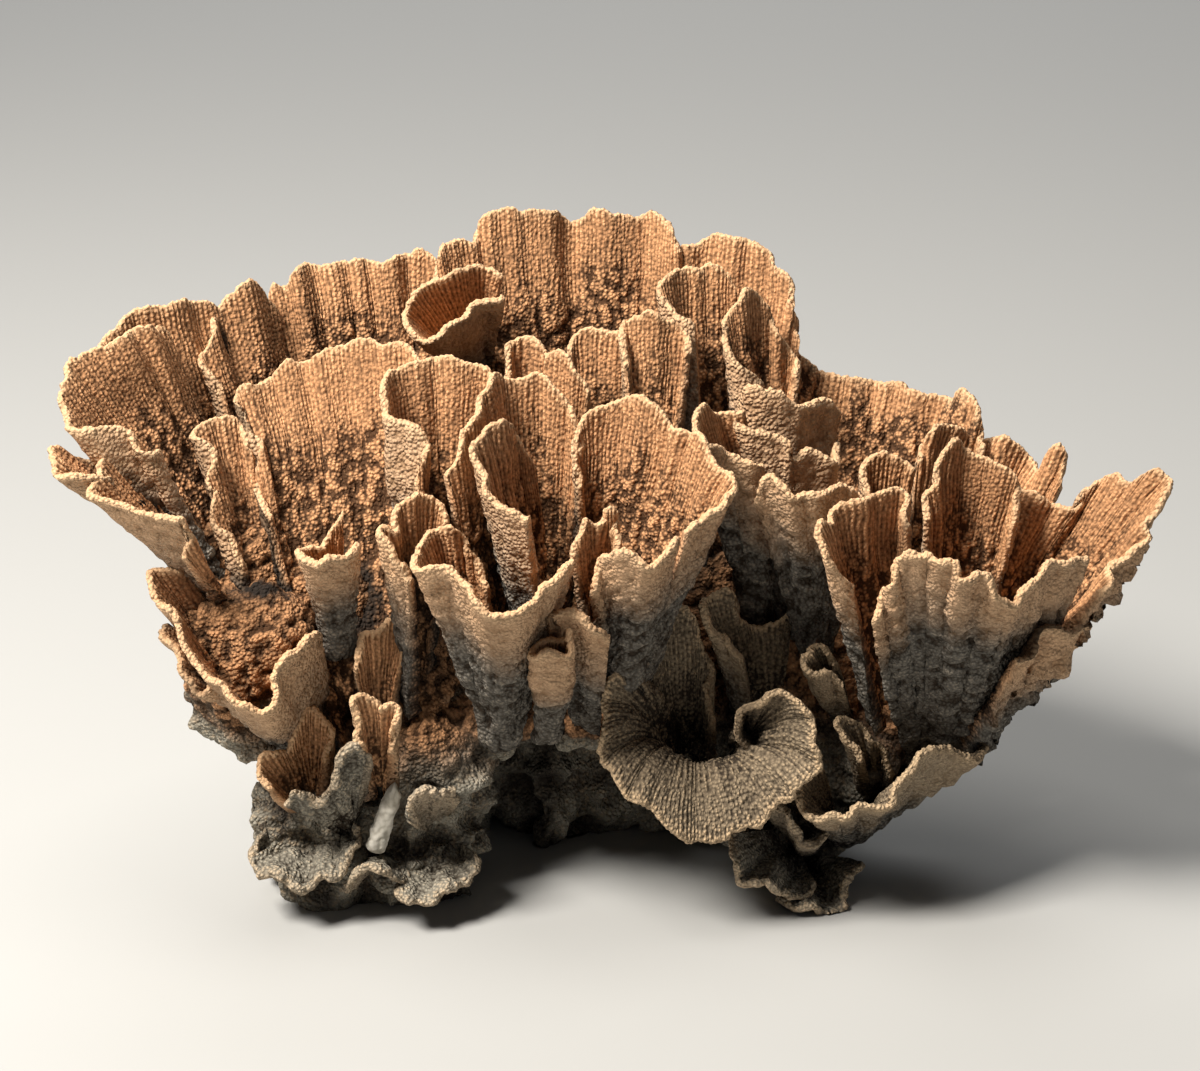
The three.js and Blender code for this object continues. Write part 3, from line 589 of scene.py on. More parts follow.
def knobs(points, size, seed):
    """Rounded bumps about one size apart, as heights from 0 to 1."""
    wander = 0.7
    reach = 0.55
    place = points / size
    cell = np.floor(place)
    nearest = np.full(points.shape[:-1], np.inf)
    for dx in (-1, 0, 1):
        for dy in (-1, 0, 1):
            for dz in (-1, 0, 1):
                near = cell + np.array((dx, dy, dz))
                shift = np.stack([scatter(near, seed + k) for k in range(3)], axis=-1)
                heart = near + shift * wander + 0.15
                nearest = np.minimum(nearest, np.sum((place - heart) ** 2, axis=-1))
    return np.clip(1 - nearest / reach, 0, 1) ** 0.7


# Meshes

def cell_corners(grid):
    """The four corners of each cell of a grid, in order round it."""
    return np.stack((grid[:-1, :-1], grid[1:, :-1], grid[1:, 1:], grid[:-1, 1:]), axis=2)


def set_marks(mesh, values):
    """Writes named values at a mesh's points."""
    for mark, value in values.items():
        layer = mesh.attributes.new(mark, "FLOAT", "POINT")
        layer.data.foreach_set("value", value.astype(np.float32))


class Skin:
    """A mesh being put together from grids of points, each with its own patch of the texture sheet."""

    def __init__(self):
        self.points = []
        self.marks = []
        self.corners = []
        self.sheet = []
        self.count = 0

    def add_points(self, points, marks):
        """Adds a grid of points with their marks and returns the grid of their numbers."""
        shape = points.shape[:-1]
        numbers = self.count + np.arange(points[..., 0].size).reshape(shape)
        self.count += numbers.size
        self.points.append(points.reshape(-1, 3))
        self.marks.append(np.stack([np.broadcast_to(mark, shape).ravel() for mark in marks], axis=1))
        return numbers

    def add_grid(self, numbers, across, along):
        """Adds the quads of a grid of point numbers, with the sheet's coordinates across and along it."""
        flat = np.stack(np.broadcast_arrays(across, along), axis=-1)
        self.add_faces(cell_corners(numbers).reshape(-1, 4), cell_corners(flat).reshape(-1, 4, 2))

    def add_strip(self, fine, coarse, walk, levels, flip=False):
        """Adds a strip between a line of points and a line of every third one of another."""
        near = np.column_stack((walk, np.full(len(walk), levels[0])))
        far = np.column_stack((walk[THIRD], np.full(len(coarse), levels[1])))
        spot = np.arange(len(coarse) - 1)
        fines = [(fine[3 * spot + k], near[3 * spot + k]) for k in range(4)]
        coarses = [(coarse[spot + k], far[spot + k]) for k in range(2)]
        corners = ((0, 1, 4), (1, 2, 4), (2, 5, 4), (2, 3, 5))
        for trio in corners:
            picked = [(fines + coarses)[k] for k in (trio[::-1] if flip else trio)]
            numbers, places = zip(*picked)
            self.add_faces(np.stack(numbers, axis=-1), np.stack(places, axis=1))

    def add_faces(self, faces, places):
        """Adds faces of one corner count."""
        self.corners.append(faces)
        self.sheet.append(places)

    def mesh(self, name, mark_names):
        """The finished mesh."""
        mesh = bpy.data.meshes.new(name)
        points = np.vstack(self.points)
        loops = np.concatenate([face.ravel() for face in self.corners]).astype(np.int32)
        sizes = np.concatenate([np.full(len(face), face.shape[1]) for face in self.corners])
        mesh.vertices.add(len(points))
        mesh.vertices.foreach_set("co", points.astype(np.float32).ravel())
        mesh.loops.add(len(loops))
        mesh.loops.foreach_set("vertex_index", loops)
        mesh.polygons.add(len(sizes))
        mesh.polygons.foreach_set("loop_start", (np.cumsum(sizes) - sizes).astype(np.int32))
        layer = mesh.uv_layers.new(name="OFBake")
        sheet = np.concatenate([place.reshape(-1, 2) for place in self.sheet])
        layer.data.foreach_set("uv", sheet.astype(np.float32).ravel())
        set_marks(mesh, dict(zip(mark_names, np.vstack(self.marks).T)))
        mesh.update(calc_edges=True)
        mesh.validate()
        mesh.shade_smooth()
        return mesh


def place_piece(name, mesh, material, node):
    """Puts a piece in the scene in place of its CAD node."""
    piece = bpy.data.objects.new(name, mesh)
    bpy.context.scene.collection.objects.link(piece)
    mesh.materials.append(material)
    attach(piece, BODY)
    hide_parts(node)


# Plates

def row_shares(rows):
    """How far each row is from root to rim, as shares, closer together toward the rim."""
    return np.linspace(0, 1, rows + 1) ** 0.8


def plate_surface(plate, columns, rows):
    """The middle surface of a plate, as columns of points from root to rim, by its solid's own formula."""
    rim = smooth_line(seen(plate.rim))
    even_points = evened(spaced(rim, EVENED_POINTS))
    middle = even_points.mean(axis=0)
    root = seen(plate.root)[0]
    axis = (middle - root) / np.linalg.norm(middle - root)
    tip = spaced(rim, columns)
    end = spaced(smooth_line(even_points), columns)
    start = root + (end - middle) * plate.spread
    whole = end - start
    along = (whole @ axis)[:, None] * axis
    bend = start + along * (0.75 - 0.5 * plate.bowl) + (whole - along) * (0.25 + 0.5 * plate.bowl)
    bend[:, 2] += plate.crest * MM * (1 - np.maximum(0, whole[:, 2]) / np.linalg.norm(whole, axis=1))
    share = row_shares(rows)[None, :, None]
    lower = (1 - share) * start[:, None] + share * bend[:, None]
    higher = (1 - share) * bend[:, None] + share * end[:, None]
    return (1 - share) * lower + share * higher + share**2 * (tip - end)[:, None]


def rim_length(plate):
    """Length of a plate's free edge."""
    rim = smooth_line(seen(plate.rim))
    return np.linalg.norm(np.diff(rim, axis=0), axis=1).sum()


def plate_reach(plate):
    """Distance from a plate's root to the middle of its rim."""
    return np.linalg.norm(seen(plate.rim).mean(axis=0) - seen(plate.root)[0])


def directions(surface):
    """Unit vectors along the growth and out of the ridged side, at each point."""
    growth = np.gradient(surface, axis=1)
    facing = np.cross(np.gradient(surface, axis=0), growth)
    return unit(growth), unit(facing)


def unit(ways):
    """Vectors at length one."""
    return ways / np.maximum(np.linalg.norm(ways, axis=-1, keepdims=True), 1e-12)


def ripple(turns):
    """A wave between 0 and 1, highest at whole turns."""
    return 0.5 + 0.5 * np.cos(2 * np.pi * turns)


def radial_ridges(surface, share, spacing, seed):
    """Ridge heights from 0 to 1. Every second ridge fades out where the plate has narrowed by half.

    The count is a multiple of 8, because ridges can halve three times. They are beaded, less so near the rim.
    """
    columns = surface.shape[0] - 1
    widths = np.linalg.norm(np.diff(surface, axis=0), axis=2).sum(axis=0)
    count = 8 * max(1, round(widths[-1] / spacing / 8))
    wander = 0.45 * drift(surface, 6 * MM, seed) + 0.2 * drift(surface, 2.6 * MM, seed + 13)
    phase = (np.arange(columns + 1) / columns)[:, None] * count + wander
    level = np.clip(np.log2(spacing * count / np.maximum(widths, 1e-6)), 0, 2.99)[None, :]
    lower = np.floor(level)
    fade = step(0.25, 0.9, level - lower)
    coarse = phase / 2 ** (lower + 1)
    fine = phase / 2**lower
    height = (1 - fade) * ripple(fine) + fade * ripple(coarse)
    number = np.round(fine)
    chance = scatter(np.stack((number, np.zeros_like(number), np.zeros_like(number)), axis=-1), seed)
    run = np.linalg.norm(np.diff(surface, axis=1), axis=2).mean(axis=0)
    run = np.concatenate(([0], np.cumsum(run)))[None, :]
    bead = ripple(run / (1.9 * spacing) * (0.8 + 0.5 * chance) + 5 * chance + wander)
    beading = 0.4 - 0.3 * step(0.2, 0.75, share)
    worn = step(-0.7, 0.2, drift(surface, 7 * MM, seed + 31))
    return height * (1 - beading * (1 - bead)) * (0.7 + 0.3 * chance) * (0.7 + 0.3 * worn)


def folded(plate, sizes, surface, share, seed):
    """A plate's surface with its folds, ruffles and uneven rim, and the streaks and bulges with them."""
    stops = len(surface)
    growth, facing = directions(surface)
    around = np.linspace(0, rim_length(plate), stops)
    rim_walk = np.column_stack((around, np.full(stops, seed * 0.07), np.zeros(stops)))
    fold = drift(rim_walk, 7 * MM, seed + 6)
    streak = drift(rim_walk, 4.5 * MM, seed + 12)[:, None]
    wave = drift(rim_walk, 11 * MM, seed) + 0.5 * drift(rim_walk, 4 * MM, seed + 1)
    chip = (0.4 + 0.8 * plate.worn) * drift(rim_walk, (1.6 + 0.8 * plate.worn) * MM, seed + 3)
    notch = drift(rim_walk, 6 * MM, seed + 2) + chip
    bulge = drift(surface, 16 * MM, seed + 4)
    swing = sizes.ruffle * (wave[:, None] * share**2 + 0.8 * fold[:, None] * share) + 1.2 * MM * bulge
    surface = surface + facing * swing[..., None]
    surface = surface + growth * (1.5 * MM * notch[:, None] * share**5)[..., None]
    return surface, streak, bulge


def ridged_side(plate, sizes, surface, share, from_rim, streak, seed):
    """The relief of a plate's upper side from 0 to 1, how far it rises, and where it is ridges or nodules."""
    ridge = radial_ridges(surface, share, sizes.ridge_spacing, seed)
    nodule = knobs(surface, sizes.nodule_size, seed + 5)
    grain = knobs(surface, 1.7 * MM, seed + 9)
    patch = drift(surface, 11 * MM, seed + 8)
    down = from_rim + 6 * MM * patch + 7 * MM * streak
    ridged = 1 - step(0.55 * plate.ridged * MM, 1.25 * plate.ridged * MM, down)
    beads = np.maximum(nodule, 0.55 * ridge)
    relief = ridged * (0.85 * ridge + 0.15 * grain) + (1 - ridged) * (0.85 * beads + 0.15 * grain)
    rise = ridged * sizes.ridge_height * (relief - 0.4) + (1 - ridged) * sizes.nodule_height * (relief - 0.45)

    # A worn plate has crumbs and pits in place of its ridges
    crumb = knobs(surface, 2.4 * MM, seed + 10)
    pit = knobs(surface, 6 * MM, seed + 11) ** 3
    relief = relief + plate.worn * (np.clip(0.3 + 0.6 * crumb - 0.7 * pit, 0, 1) - relief)
    rise = rise + plate.worn * (MM * (1.0 * crumb - 1.4 * pit - 0.2) - rise)
    return relief, rise, ridged


def underside(plate, sizes, surface, from_rim, half, bulge, seed):
    """The relief of a plate's underside from 0 to 1 and how far below the middle it lies.

    It has nubs in faint growth bands, taller away from the rim, and spikes where the plate is ragged.
    """
    band = ripple(from_rim / (5.5 * MM) + 0.9 * bulge)
    nub = knobs(surface, sizes.nub_size, seed + 7)
    relief = 0.75 * nub + 0.25 * band
    fall = half + sizes.nub_height * (0.45 + 0.55 * step(0, 30 * MM, from_rim)) * (relief - 0.4)
    spike = knobs(surface, 5 * MM, seed + 14) ** 3
    fall = fall + plate.ragged * MM * spike * step(2 * MM, 12 * MM, from_rim)
    return relief, fall


def rounded_rim(edge, growth, facing, radius):
    """Three rows of points round a free edge, from the ridged side to the underside."""
    turn = np.radians((38, 90, 142))[None, :, None]
    out = growth[:, None] * np.sin(turn) + facing[:, None] * np.cos(turn)
    return edge[:, None] + radius[:, None, None] * out


def make_plate(plate, sizes, material, seed):
    """Builds one plate with its folds, ridges, nodules, ruffled rim and nubbly underside."""
    rows = max(14, round(plate_reach(plate) / sizes.row_height))
    columns = 3 * max(8, round(rim_length(plate) / sizes.column_width / 3))
    surface = plate_surface(plate, columns, rows)
    share = row_shares(rows)[None, :]
    run_out = np.linalg.norm(surface[:, -1] - surface[:, 0], axis=1).mean()
    from_rim = (1 - share) * run_out
    surface, streak, bulge = folded(plate, sizes, surface, share, seed)
    growth, facing = directions(surface)

    # Points of the ridged side, the underside and the rounded rim between them. A worn plate is thicker
    half = 0.5 * (sizes.root_thickness + (sizes.rim_thickness - sizes.root_thickness) * share)
    half = half + plate.worn * 0.2 * MM
    relief, rise, ridged = ridged_side(plate, sizes, surface, share, from_rim, streak, seed)
    nubs, fall = underside(plate, sizes, surface, from_rim, half, bulge, seed)
    upper = surface + facing * (half + rise)[..., None]
    under = (surface - facing * fall[..., None])[THIRD]
    radius = 0.5 * (half + rise + fall)[:, -1]
    cap = rounded_rim(surface[:, -1], growth[:, -1], facing[:, -1], radius)
    for grid in (upper, under, cap):
        grid[..., 2] = np.maximum(grid[..., 2], FLOOR_GAP)

    # Marks: how near the rim a point is, how deep in the plate, how closed in by the colony. Depth darkens
    # the colour, partly as the coral's own and partly as painted shade; being closed in darkens it as painted
    # shade.
    fresh = 1 - 0.5 * plate.worn
    close = fresh * np.exp(-from_rim / (1.4 * MM))
    deep = np.maximum(step(6 * MM, 46 * MM, from_rim + 8 * MM * streak), 0.8 * (1 - ridged))
    deep = deep * (1 - 0.6 * plate.worn)
    deep_below = step(2 * MM, 47 * MM, from_rim + 8 * MM * bulge)
    shut, shut_below = plate_shut(plate, columns, rows)
    turned = np.array((0.2, 0.5, 0.8))[None, :]

    skin = Skin()
    top = skin.add_points(upper, (relief, close, 0.0, deep, shut))
    edge = skin.add_points(cap, (0.7, 0.85 * fresh, turned, 0.0, shut[:, -1:]))
    bottom = skin.add_points(under, (nubs[THIRD], close * 0.8, 1.0, deep_below[THIRD], shut_below[THIRD]))
    join_plate(skin, top, edge, bottom, share)
    place_piece(plate.name + "_skin", skin.mesh(plate.name, MARKS), material, plate.name)


def join_plate(skin, top, edge, bottom, share):
    """Adds a plate's faces: the ridged side, the rounded rim, the underside, the root and the two sides."""
    walk = np.linspace(*SHEET_TOP_ACROSS, len(top))
    skin.add_grid(top, walk[:, None], 0.02 + 0.88 * share)
    turned = np.column_stack((top[:, -1], edge))
    skin.add_grid(turned, walk[:, None], np.linspace(*SHEET_RIM_ALONG, 4)[None, :])
    skin.add_strip(edge[:, -1], bottom[:, -1], walk, (SHEET_RIM_ALONG[1], 0.99))
    climb = 0.02 + 0.96 * share
    skin.add_grid(bottom[:, ::-1], walk[THIRD, None] * SHEET_UNDER_SHRINK + SHEET_UNDER_START, climb[:, ::-1])
    skin.add_strip(top[:, 0], bottom[:, 0], walk, (0.012, 0.0), True)
    for end, flip in ((0, False), (-1, True)):
        ring = np.concatenate((top[end, -1:], edge[end], bottom[end, -1:]))
        close_side(skin, top[end], bottom[end], ring, flip)


def close_side(skin, top, bottom, ring, flip):
    """Closes a plate's side from root to rim, with the end of the rounded rim."""
    sides = np.column_stack((bottom, top) if flip else (top, bottom))
    aside = SHEET_SIDES_ACROSS[1] if flip else SHEET_SIDES_ACROSS[0]
    climb = np.linspace(0.02, 0.9, len(top))
    skin.add_grid(sides, np.array(((aside, aside + SHEET_SIDE_WIDTH),)), climb[:, None])
    order = np.arange(len(ring))[::-1] if flip else np.arange(len(ring))
    across = aside + SHEET_SIDE_WIDTH * order / (len(ring) - 1)
    spot = np.column_stack((across, 0.92 + 0.05 * np.sin(order * np.pi / 4)))
    skin.add_faces(ring[order][None, :], spot[None, :])


# How closed in a place is, for the painted shade in the recesses

@functools.cache
def rough_colony():
    """The whole colony in rough on its floor, for rays to meet."""
    points = [np.array(((-1, -1, 0), (1, -1, 0), (1, 1, 0), (-1, 1, 0)), float)]
    faces = [(0, 1, 2, 3)]
    for plate in ALL_PLATES:
        start = sum(len(p) for p in points)
        surface = plate_surface(plate, columns=24, rows=10)
        points.append(surface.reshape(-1, 3))
        numbers = start + np.arange(surface[..., 0].size).reshape(surface.shape[:2])
        faces.extend(tuple(quad) for quad in cell_corners(numbers).reshape(-1, 4).tolist())
    unit_ball, ball_faces = ball_points(rings=8, around=12)
    for lump in LUMPS:
        start = sum(len(p) for p in points)
        points.append((unit_ball * np.array(lump.half) + np.array(lump.at)) * MM)
        faces.extend(tuple(n + start for n in face) for face in ball_faces)
    return BVHTree.FromPolygons(np.vstack(points).tolist(), faces)


def shut_in(points, facing):
    """How closed in points are, from 0 in the open to 1 in a deep recess, with light mostly from above."""
    count = 22
    reach = 70 * MM
    lift_off = 1.2 * MM
    level_light = 0.06
    glow_of_wall = 0.5
    share = (np.arange(count) + 0.5) / count
    turn = np.arange(count) * math.pi * (3 - math.sqrt(5))
    lean = np.sqrt(share)
    spray = np.column_stack((lean * np.cos(turn), lean * np.sin(turn), np.sqrt(1 - share)))
    facing = unit(facing.reshape(-1, 3))
    aside = unit(np.cross(facing, np.where(np.abs(facing[:, 2:]) < 0.9, (0, 0, 1), (1, 0, 0))))
    ways = spray @ np.stack((aside, np.cross(facing, aside), facing), axis=1)
    weight = level_light + np.maximum(0, ways[..., 2])
    tree = rough_colony()
    clear = np.ones(weight.shape)
    starts = points.reshape(-1, 3) + lift_off * facing
    for k, (start, rays) in enumerate(zip(starts.tolist(), ways.tolist())):
        for n, ray in enumerate(rays):
            gap = tree.ray_cast(start, ray, reach)[3]
            if gap is not None:
                clear[k, n] = glow_of_wall * gap / reach
    shut = 1 - (clear * weight).sum(axis=1) / weight.sum(axis=1)
    return shut.reshape(points.shape[:-1])


def stretched(values, columns, rows):
    """A small grid of values spread smoothly over a larger one."""
    wide = np.linspace(0, values.shape[0] - 1, columns + 1)
    tall = np.linspace(0, values.shape[1] - 1, rows + 1)
    left = np.minimum(wide.astype(int), values.shape[0] - 2)
    low = np.minimum(tall.astype(int), values.shape[1] - 2)
    along = (wide - left)[:, None]
    up = (tall - low)[None, :]
    first = values[left][:, low] * (1 - up) + values[left][:, low + 1] * up
    second = values[left + 1][:, low] * (1 - up) + values[left + 1][:, low + 1] * up
    return first * (1 - along) + second * along


def plate_shut(plate, columns, rows):
    """How closed in each point of a plate is, on its ridged side and on its underside."""
    surface = plate_surface(plate, max(5, round(rim_length(plate) / (6 * MM))), max(5, rows // 4))
    facing = directions(surface)[1]
    return tuple(stretched(shut_in(surface, side * facing), columns, rows) for side in (1, -1))


# Holdfast and broken stub

def ball_points(rings, around):
    """Points and faces of a unit ball."""
    polar = np.linspace(0, np.pi, rings + 1)[1:-1]
    turn = np.arange(around) * 2 * np.pi / around
    grid = np.stack((
        np.sin(polar)[:, None] * np.cos(turn)[None, :],
        np.sin(polar)[:, None] * np.sin(turn)[None, :],
        np.broadcast_to(np.cos(polar)[:, None], (rings - 1, around))), axis=-1)
    points = np.vstack((grid.reshape(-1, 3), ((0, 0, 1), (0, 0, -1))))
    faces = []
    for k in range(around):
        ahead = (k + 1) % around
        for ring in range(rings - 2):
            upper = ring * around
            lower = upper + around
            faces.append((upper + k, lower + k, lower + ahead, upper + ahead))
        faces.append((len(points) - 2, k, ahead))
        faces.append((len(points) - 1, (rings - 2) * around + ahead, (rings - 2) * around + k))
    return points, faces


def remeshed(name, points, faces, voxel):
    """One skin round everything given, as a mesh of even grain."""
    rough = bpy.data.meshes.new(name + "_rough")
    rough.from_pydata(points.tolist(), [], faces)
    body = bpy.data.objects.new(name + "_rough", rough)
    bpy.context.scene.collection.objects.link(body)
    remesh = body.modifiers.new("even_grain", "REMESH")
    remesh.mode = "VOXEL"
    remesh.voxel_size = voxel
    even = body.evaluated_get(bpy.context.evaluated_depsgraph_get())
    mesh = bpy.data.meshes.new_from_object(even)
    bpy.data.objects.remove(body)
    bpy.data.meshes.remove(rough)
    mesh.name = name
    return mesh


def mesh_arrays(mesh):
    """A mesh's points and the way each faces."""
    count = len(mesh.vertices)
    points = np.empty(count * 3, np.float32)
    facing = np.empty(count * 3, np.float32)
    mesh.vertices.foreach_get("co", points)
    mesh.vertex_normals.foreach_get("vector", facing)
    return points.reshape(-1, 3).astype(float), facing.reshape(-1, 3).astype(float)


def lump_cloud(seed):
    """Points and faces of every lump of the holdfast, each roughened."""
    unit_ball, ball_faces = ball_points(rings=14, around=22)
    points = []
    faces = []
    for k, lump in enumerate(LUMPS):
        start = sum(len(p) for p in points)
        ball = unit_ball * np.array(lump.half) + np.array(lump.at)
        rough = 1 + 0.16 * drift(ball, 14.0, seed + k) + 0.08 * drift(ball, 6.0, seed + k + 40)
        points.append(((ball - lump.at) * rough[:, None] + lump.at) * MM)
        faces.extend(tuple(n + start for n in face) for face in ball_faces)
    return np.vstack(points), faces


def spread_shut(points, facing):
    """How closed in each of many points is, worked out at some of them and carried to the rest."""
    every = 23
    nearest = 5
    some = np.arange(0, len(points), every)
    values = shut_in(points[some], facing[some])
    tree = KDTree(len(some))
    for k, point in enumerate(points[some].tolist()):
        tree.insert(point, k)
    tree.balance()
    found = ([near[1] for near in tree.find_n(point, nearest)] for point in points.tolist())
    return np.array([values[around].mean() for around in found])


def make_holdfast(sizes, material):
    """Builds the eroded foot and the knobbly slopes above it as one skin, flat where the foot was cut."""
    points, faces = lump_cloud(seed=11)
    mesh = remeshed("holdfast", points, faces, sizes.holdfast_voxel)
    points, facing = mesh_arrays(mesh)
    grown = step(34 * MM, 56 * MM, points[:, 2] + 9 * MM * drift(points, 18 * MM, 71))
    grown = grown * step(-0.2, 0.35, facing[:, 2] - 0.5 * facing[:, 1])

    # Crust of the foot: cobbles, ledges, pits. Rises are in mm
    cobble = knobs(points, 9 * MM, 21)
    grit = knobs(points, 3.4 * MM, 31)
    pit = knobs(points + 4 * MM * drift(points, 9 * MM, 5)[:, None], 13 * MM, 41)
    ledge = ripple(points[:, 2] / (9 * MM) + 0.4 * drift(points, 20 * MM, 51))
    crust = np.clip(0.5 * cobble + 0.35 * grit + 0.3 * ledge - 0.8 * pit**2, 0, 1)
    crust_rise = 3.0 * cobble + 1.4 * grit + 1.8 * ledge**2 - 5.5 * pit**2 - 1.6

    # Nodules of the slopes
    nodule = knobs(points, sizes.nodule_size, 81)
    swell = drift(points, 14 * MM, 91)
    slope_rise = sizes.nodule_height / MM * (nodule - 0.45) + 1.6 * swell

    rise = (1 - grown) * crust_rise + grown * slope_rise
    points = points + facing * (rise * MM)[:, None]
    points[:, 2] = np.maximum(points[:, 2], 0)
    mesh.vertices.foreach_set("co", points.astype(np.float32).ravel())
    relief = (1 - grown) * crust + grown * (0.8 * nodule + 0.2 * grit)
    set_marks(mesh, {"relief": relief, "grown": grown, "shut": spread_shut(points, facing)})
    mesh.update()
    mesh.shade_smooth()
    place_piece("holdfast_skin", mesh, material, "holdfast")


def make_finger(sizes, material):
    """Builds the bleached stub of a broken branch."""
    foot, tip = seen((FINGER_FOOT, FINGER_TIP))
    axis = (tip - foot) / np.linalg.norm(tip - foot)
    side = np.cross(axis, (0, 1, 0))
    side /= np.linalg.norm(side)
    other = np.cross(axis, side)
    rings = 60
    around = 72
    climb = np.linspace(0, 1, rings + 1)[:, None]
    turn = np.linspace(0, 2 * np.pi, around + 1)[None, :]
    closing = np.sqrt(np.clip(1 - np.abs(2 * climb - 1) ** 9, 0.0, 1))
    radius = 0.5 * sizes.finger_thickness * closing * (1.06 - 0.34 * climb)
    ring = np.cos(turn)[..., None] * side + np.sin(turn)[..., None] * other
    core = foot + climb[..., None] * (tip - foot)
    skin_points = core + ring * radius[..., None]
    pore = knobs(skin_points, 1.8 * MM, 61)
    knot = drift(skin_points, 5 * MM, 62)
    pit = knobs(skin_points, 5 * MM, 63) ** 3
    skin_points = core + ring * (radius * (1 + 0.22 * knot + 0.10 * pore - 0.35 * pit))[..., None]
    pore = np.clip(pore - 0.8 * pit, 0, 1)
    broken = 2.2 * MM * drift(skin_points, 3 * MM, 64) + 1.6 * MM * np.cos(turn)
    skin_points = skin_points + axis * (broken * climb**6)[..., None]
    skin_points[:, -1] = skin_points[:, 0]
    skin_points[-1] = skin_points[-1, :-1].mean(axis=0)
    skin = Skin()
    grid = skin.add_points(skin_points, (pore,))
    sheet_across = np.linspace(0.01, 0.99, around + 1)[:, None]
    sheet_along = np.linspace(0.01, 0.99, rings + 1)[None, :]
    skin.add_grid(grid.T, sheet_across, sheet_along)
    mesh = skin.mesh("broken_finger", ("relief",))
    place_piece("broken_finger_skin", mesh, material, "broken_finger")


# Materials

class Wire:
    """A shader socket that can be used in sums."""

    def __init__(self, shader, socket):
        self.shader = shader
        self.socket = socket

    def join(self, operation, left, right):
        """A Math node on two values."""
        return self.shader.node("ShaderNodeMath", {"operation": operation}, {0: left, 1: right})

    def __add__(self, other):
        return self.join("ADD", self, other)

    def __radd__(self, other):
        return self.join("ADD", other, self)

    def __sub__(self, other):
        return self.join("SUBTRACT", self, other)

    def __rsub__(self, other):
        return self.join("SUBTRACT", other, self)

    def __mul__(self, other):
        return self.join("MULTIPLY", self, other)

    def __rmul__(self, other):
        return self.join("MULTIPLY", other, self)


class Shader:
    """A material's node tree, built up from wires."""

    def __init__(self, name):
        self.material = bpy.data.materials.new(name)
        self.material.use_nodes = True
        self.tree = self.material.node_tree
        self.surface = next(n for n in self.tree.nodes if n.type == "BSDF_PRINCIPLED")

    def node(self, kind, settings, sockets, output=0):
        """Adds a node, sets it up, feeds its sockets and returns one of its outputs."""
        made = self.tree.nodes.new(kind)
        for key, value in settings.items():
            setattr(made, key, value)
        for key, value in sockets.items():
            self.feed(made.inputs[key], value)
        return Wire(self, made.outputs[output])

    def feed(self, socket, value):
        """Links a wire to a socket, or sets the socket's own value."""
        if isinstance(value, Wire):
            self.tree.links.new(value.socket, socket)
        else:
            socket.default_value = value

    def mark(self, name):
        """A value stored at the mesh's points."""
        return self.node("ShaderNodeAttribute", {"attribute_name": name}, {}, "Fac")

    def place(self):
        """Where a point is on the object."""
        return self.node("ShaderNodeTexCoord", {}, {}, "Object")

    def cloud(self, size, detail=2.0):
        """Soft noise from 0 to 1, with features about one size wide."""
        sockets = {"Vector": self.place(), "Scale": 1 / size, "Detail": detail}
        return self.node("ShaderNodeTexNoise", {}, sockets, "Fac")

    def grains(self, size):
        """Rounded cells about one size apart: 0 at their hearts."""
        sockets = {"Vector": self.place(), "Scale": 1 / size}
        return self.node("ShaderNodeTexVoronoi", {"feature": "F1"}, sockets, "Distance")

    def held(self, value):
        """A value held between 0 and 1."""
        return self.node("ShaderNodeClamp", {}, {"Value": value})

    def mixed(self, share, first, second):
        """Two colours mixed, by the colour sockets of a Mix node."""
        sockets = {0: share, 6: colour(first), 7: colour(second)}
        return self.node("ShaderNodeMix", {"data_type": "RGBA"}, sockets, 2)

    def with_painted_shade(self, base, colours):
        """A colour darkened with painted shade where the colony is closed in."""
        return self.mixed(self.held((self.mark("shut") - 0.53) * 2.2), base, colours.painted_shade)

    def bump(self, height, strength, distance):
        """Feeds the surface's normal from a height."""
        sockets = {"Height": height, "Strength": strength, "Distance": distance}
        self.feed(self.surface.inputs["Normal"], self.node("ShaderNodeBump", {}, sockets))

    def finish(self, base, roughness):
        """Feeds the surface's colour and sets its dull finish."""
        self.feed(self.surface.inputs["Base Color"], base)
        self.feed(self.surface.inputs["Roughness"], roughness)
        self.surface.inputs["Specular IOR Level"].default_value = 0.25
        return self.material


def colour(value):
    """A colour as a shader socket takes it."""
    return value if isinstance(value, Wire) else (*value, 1.0)


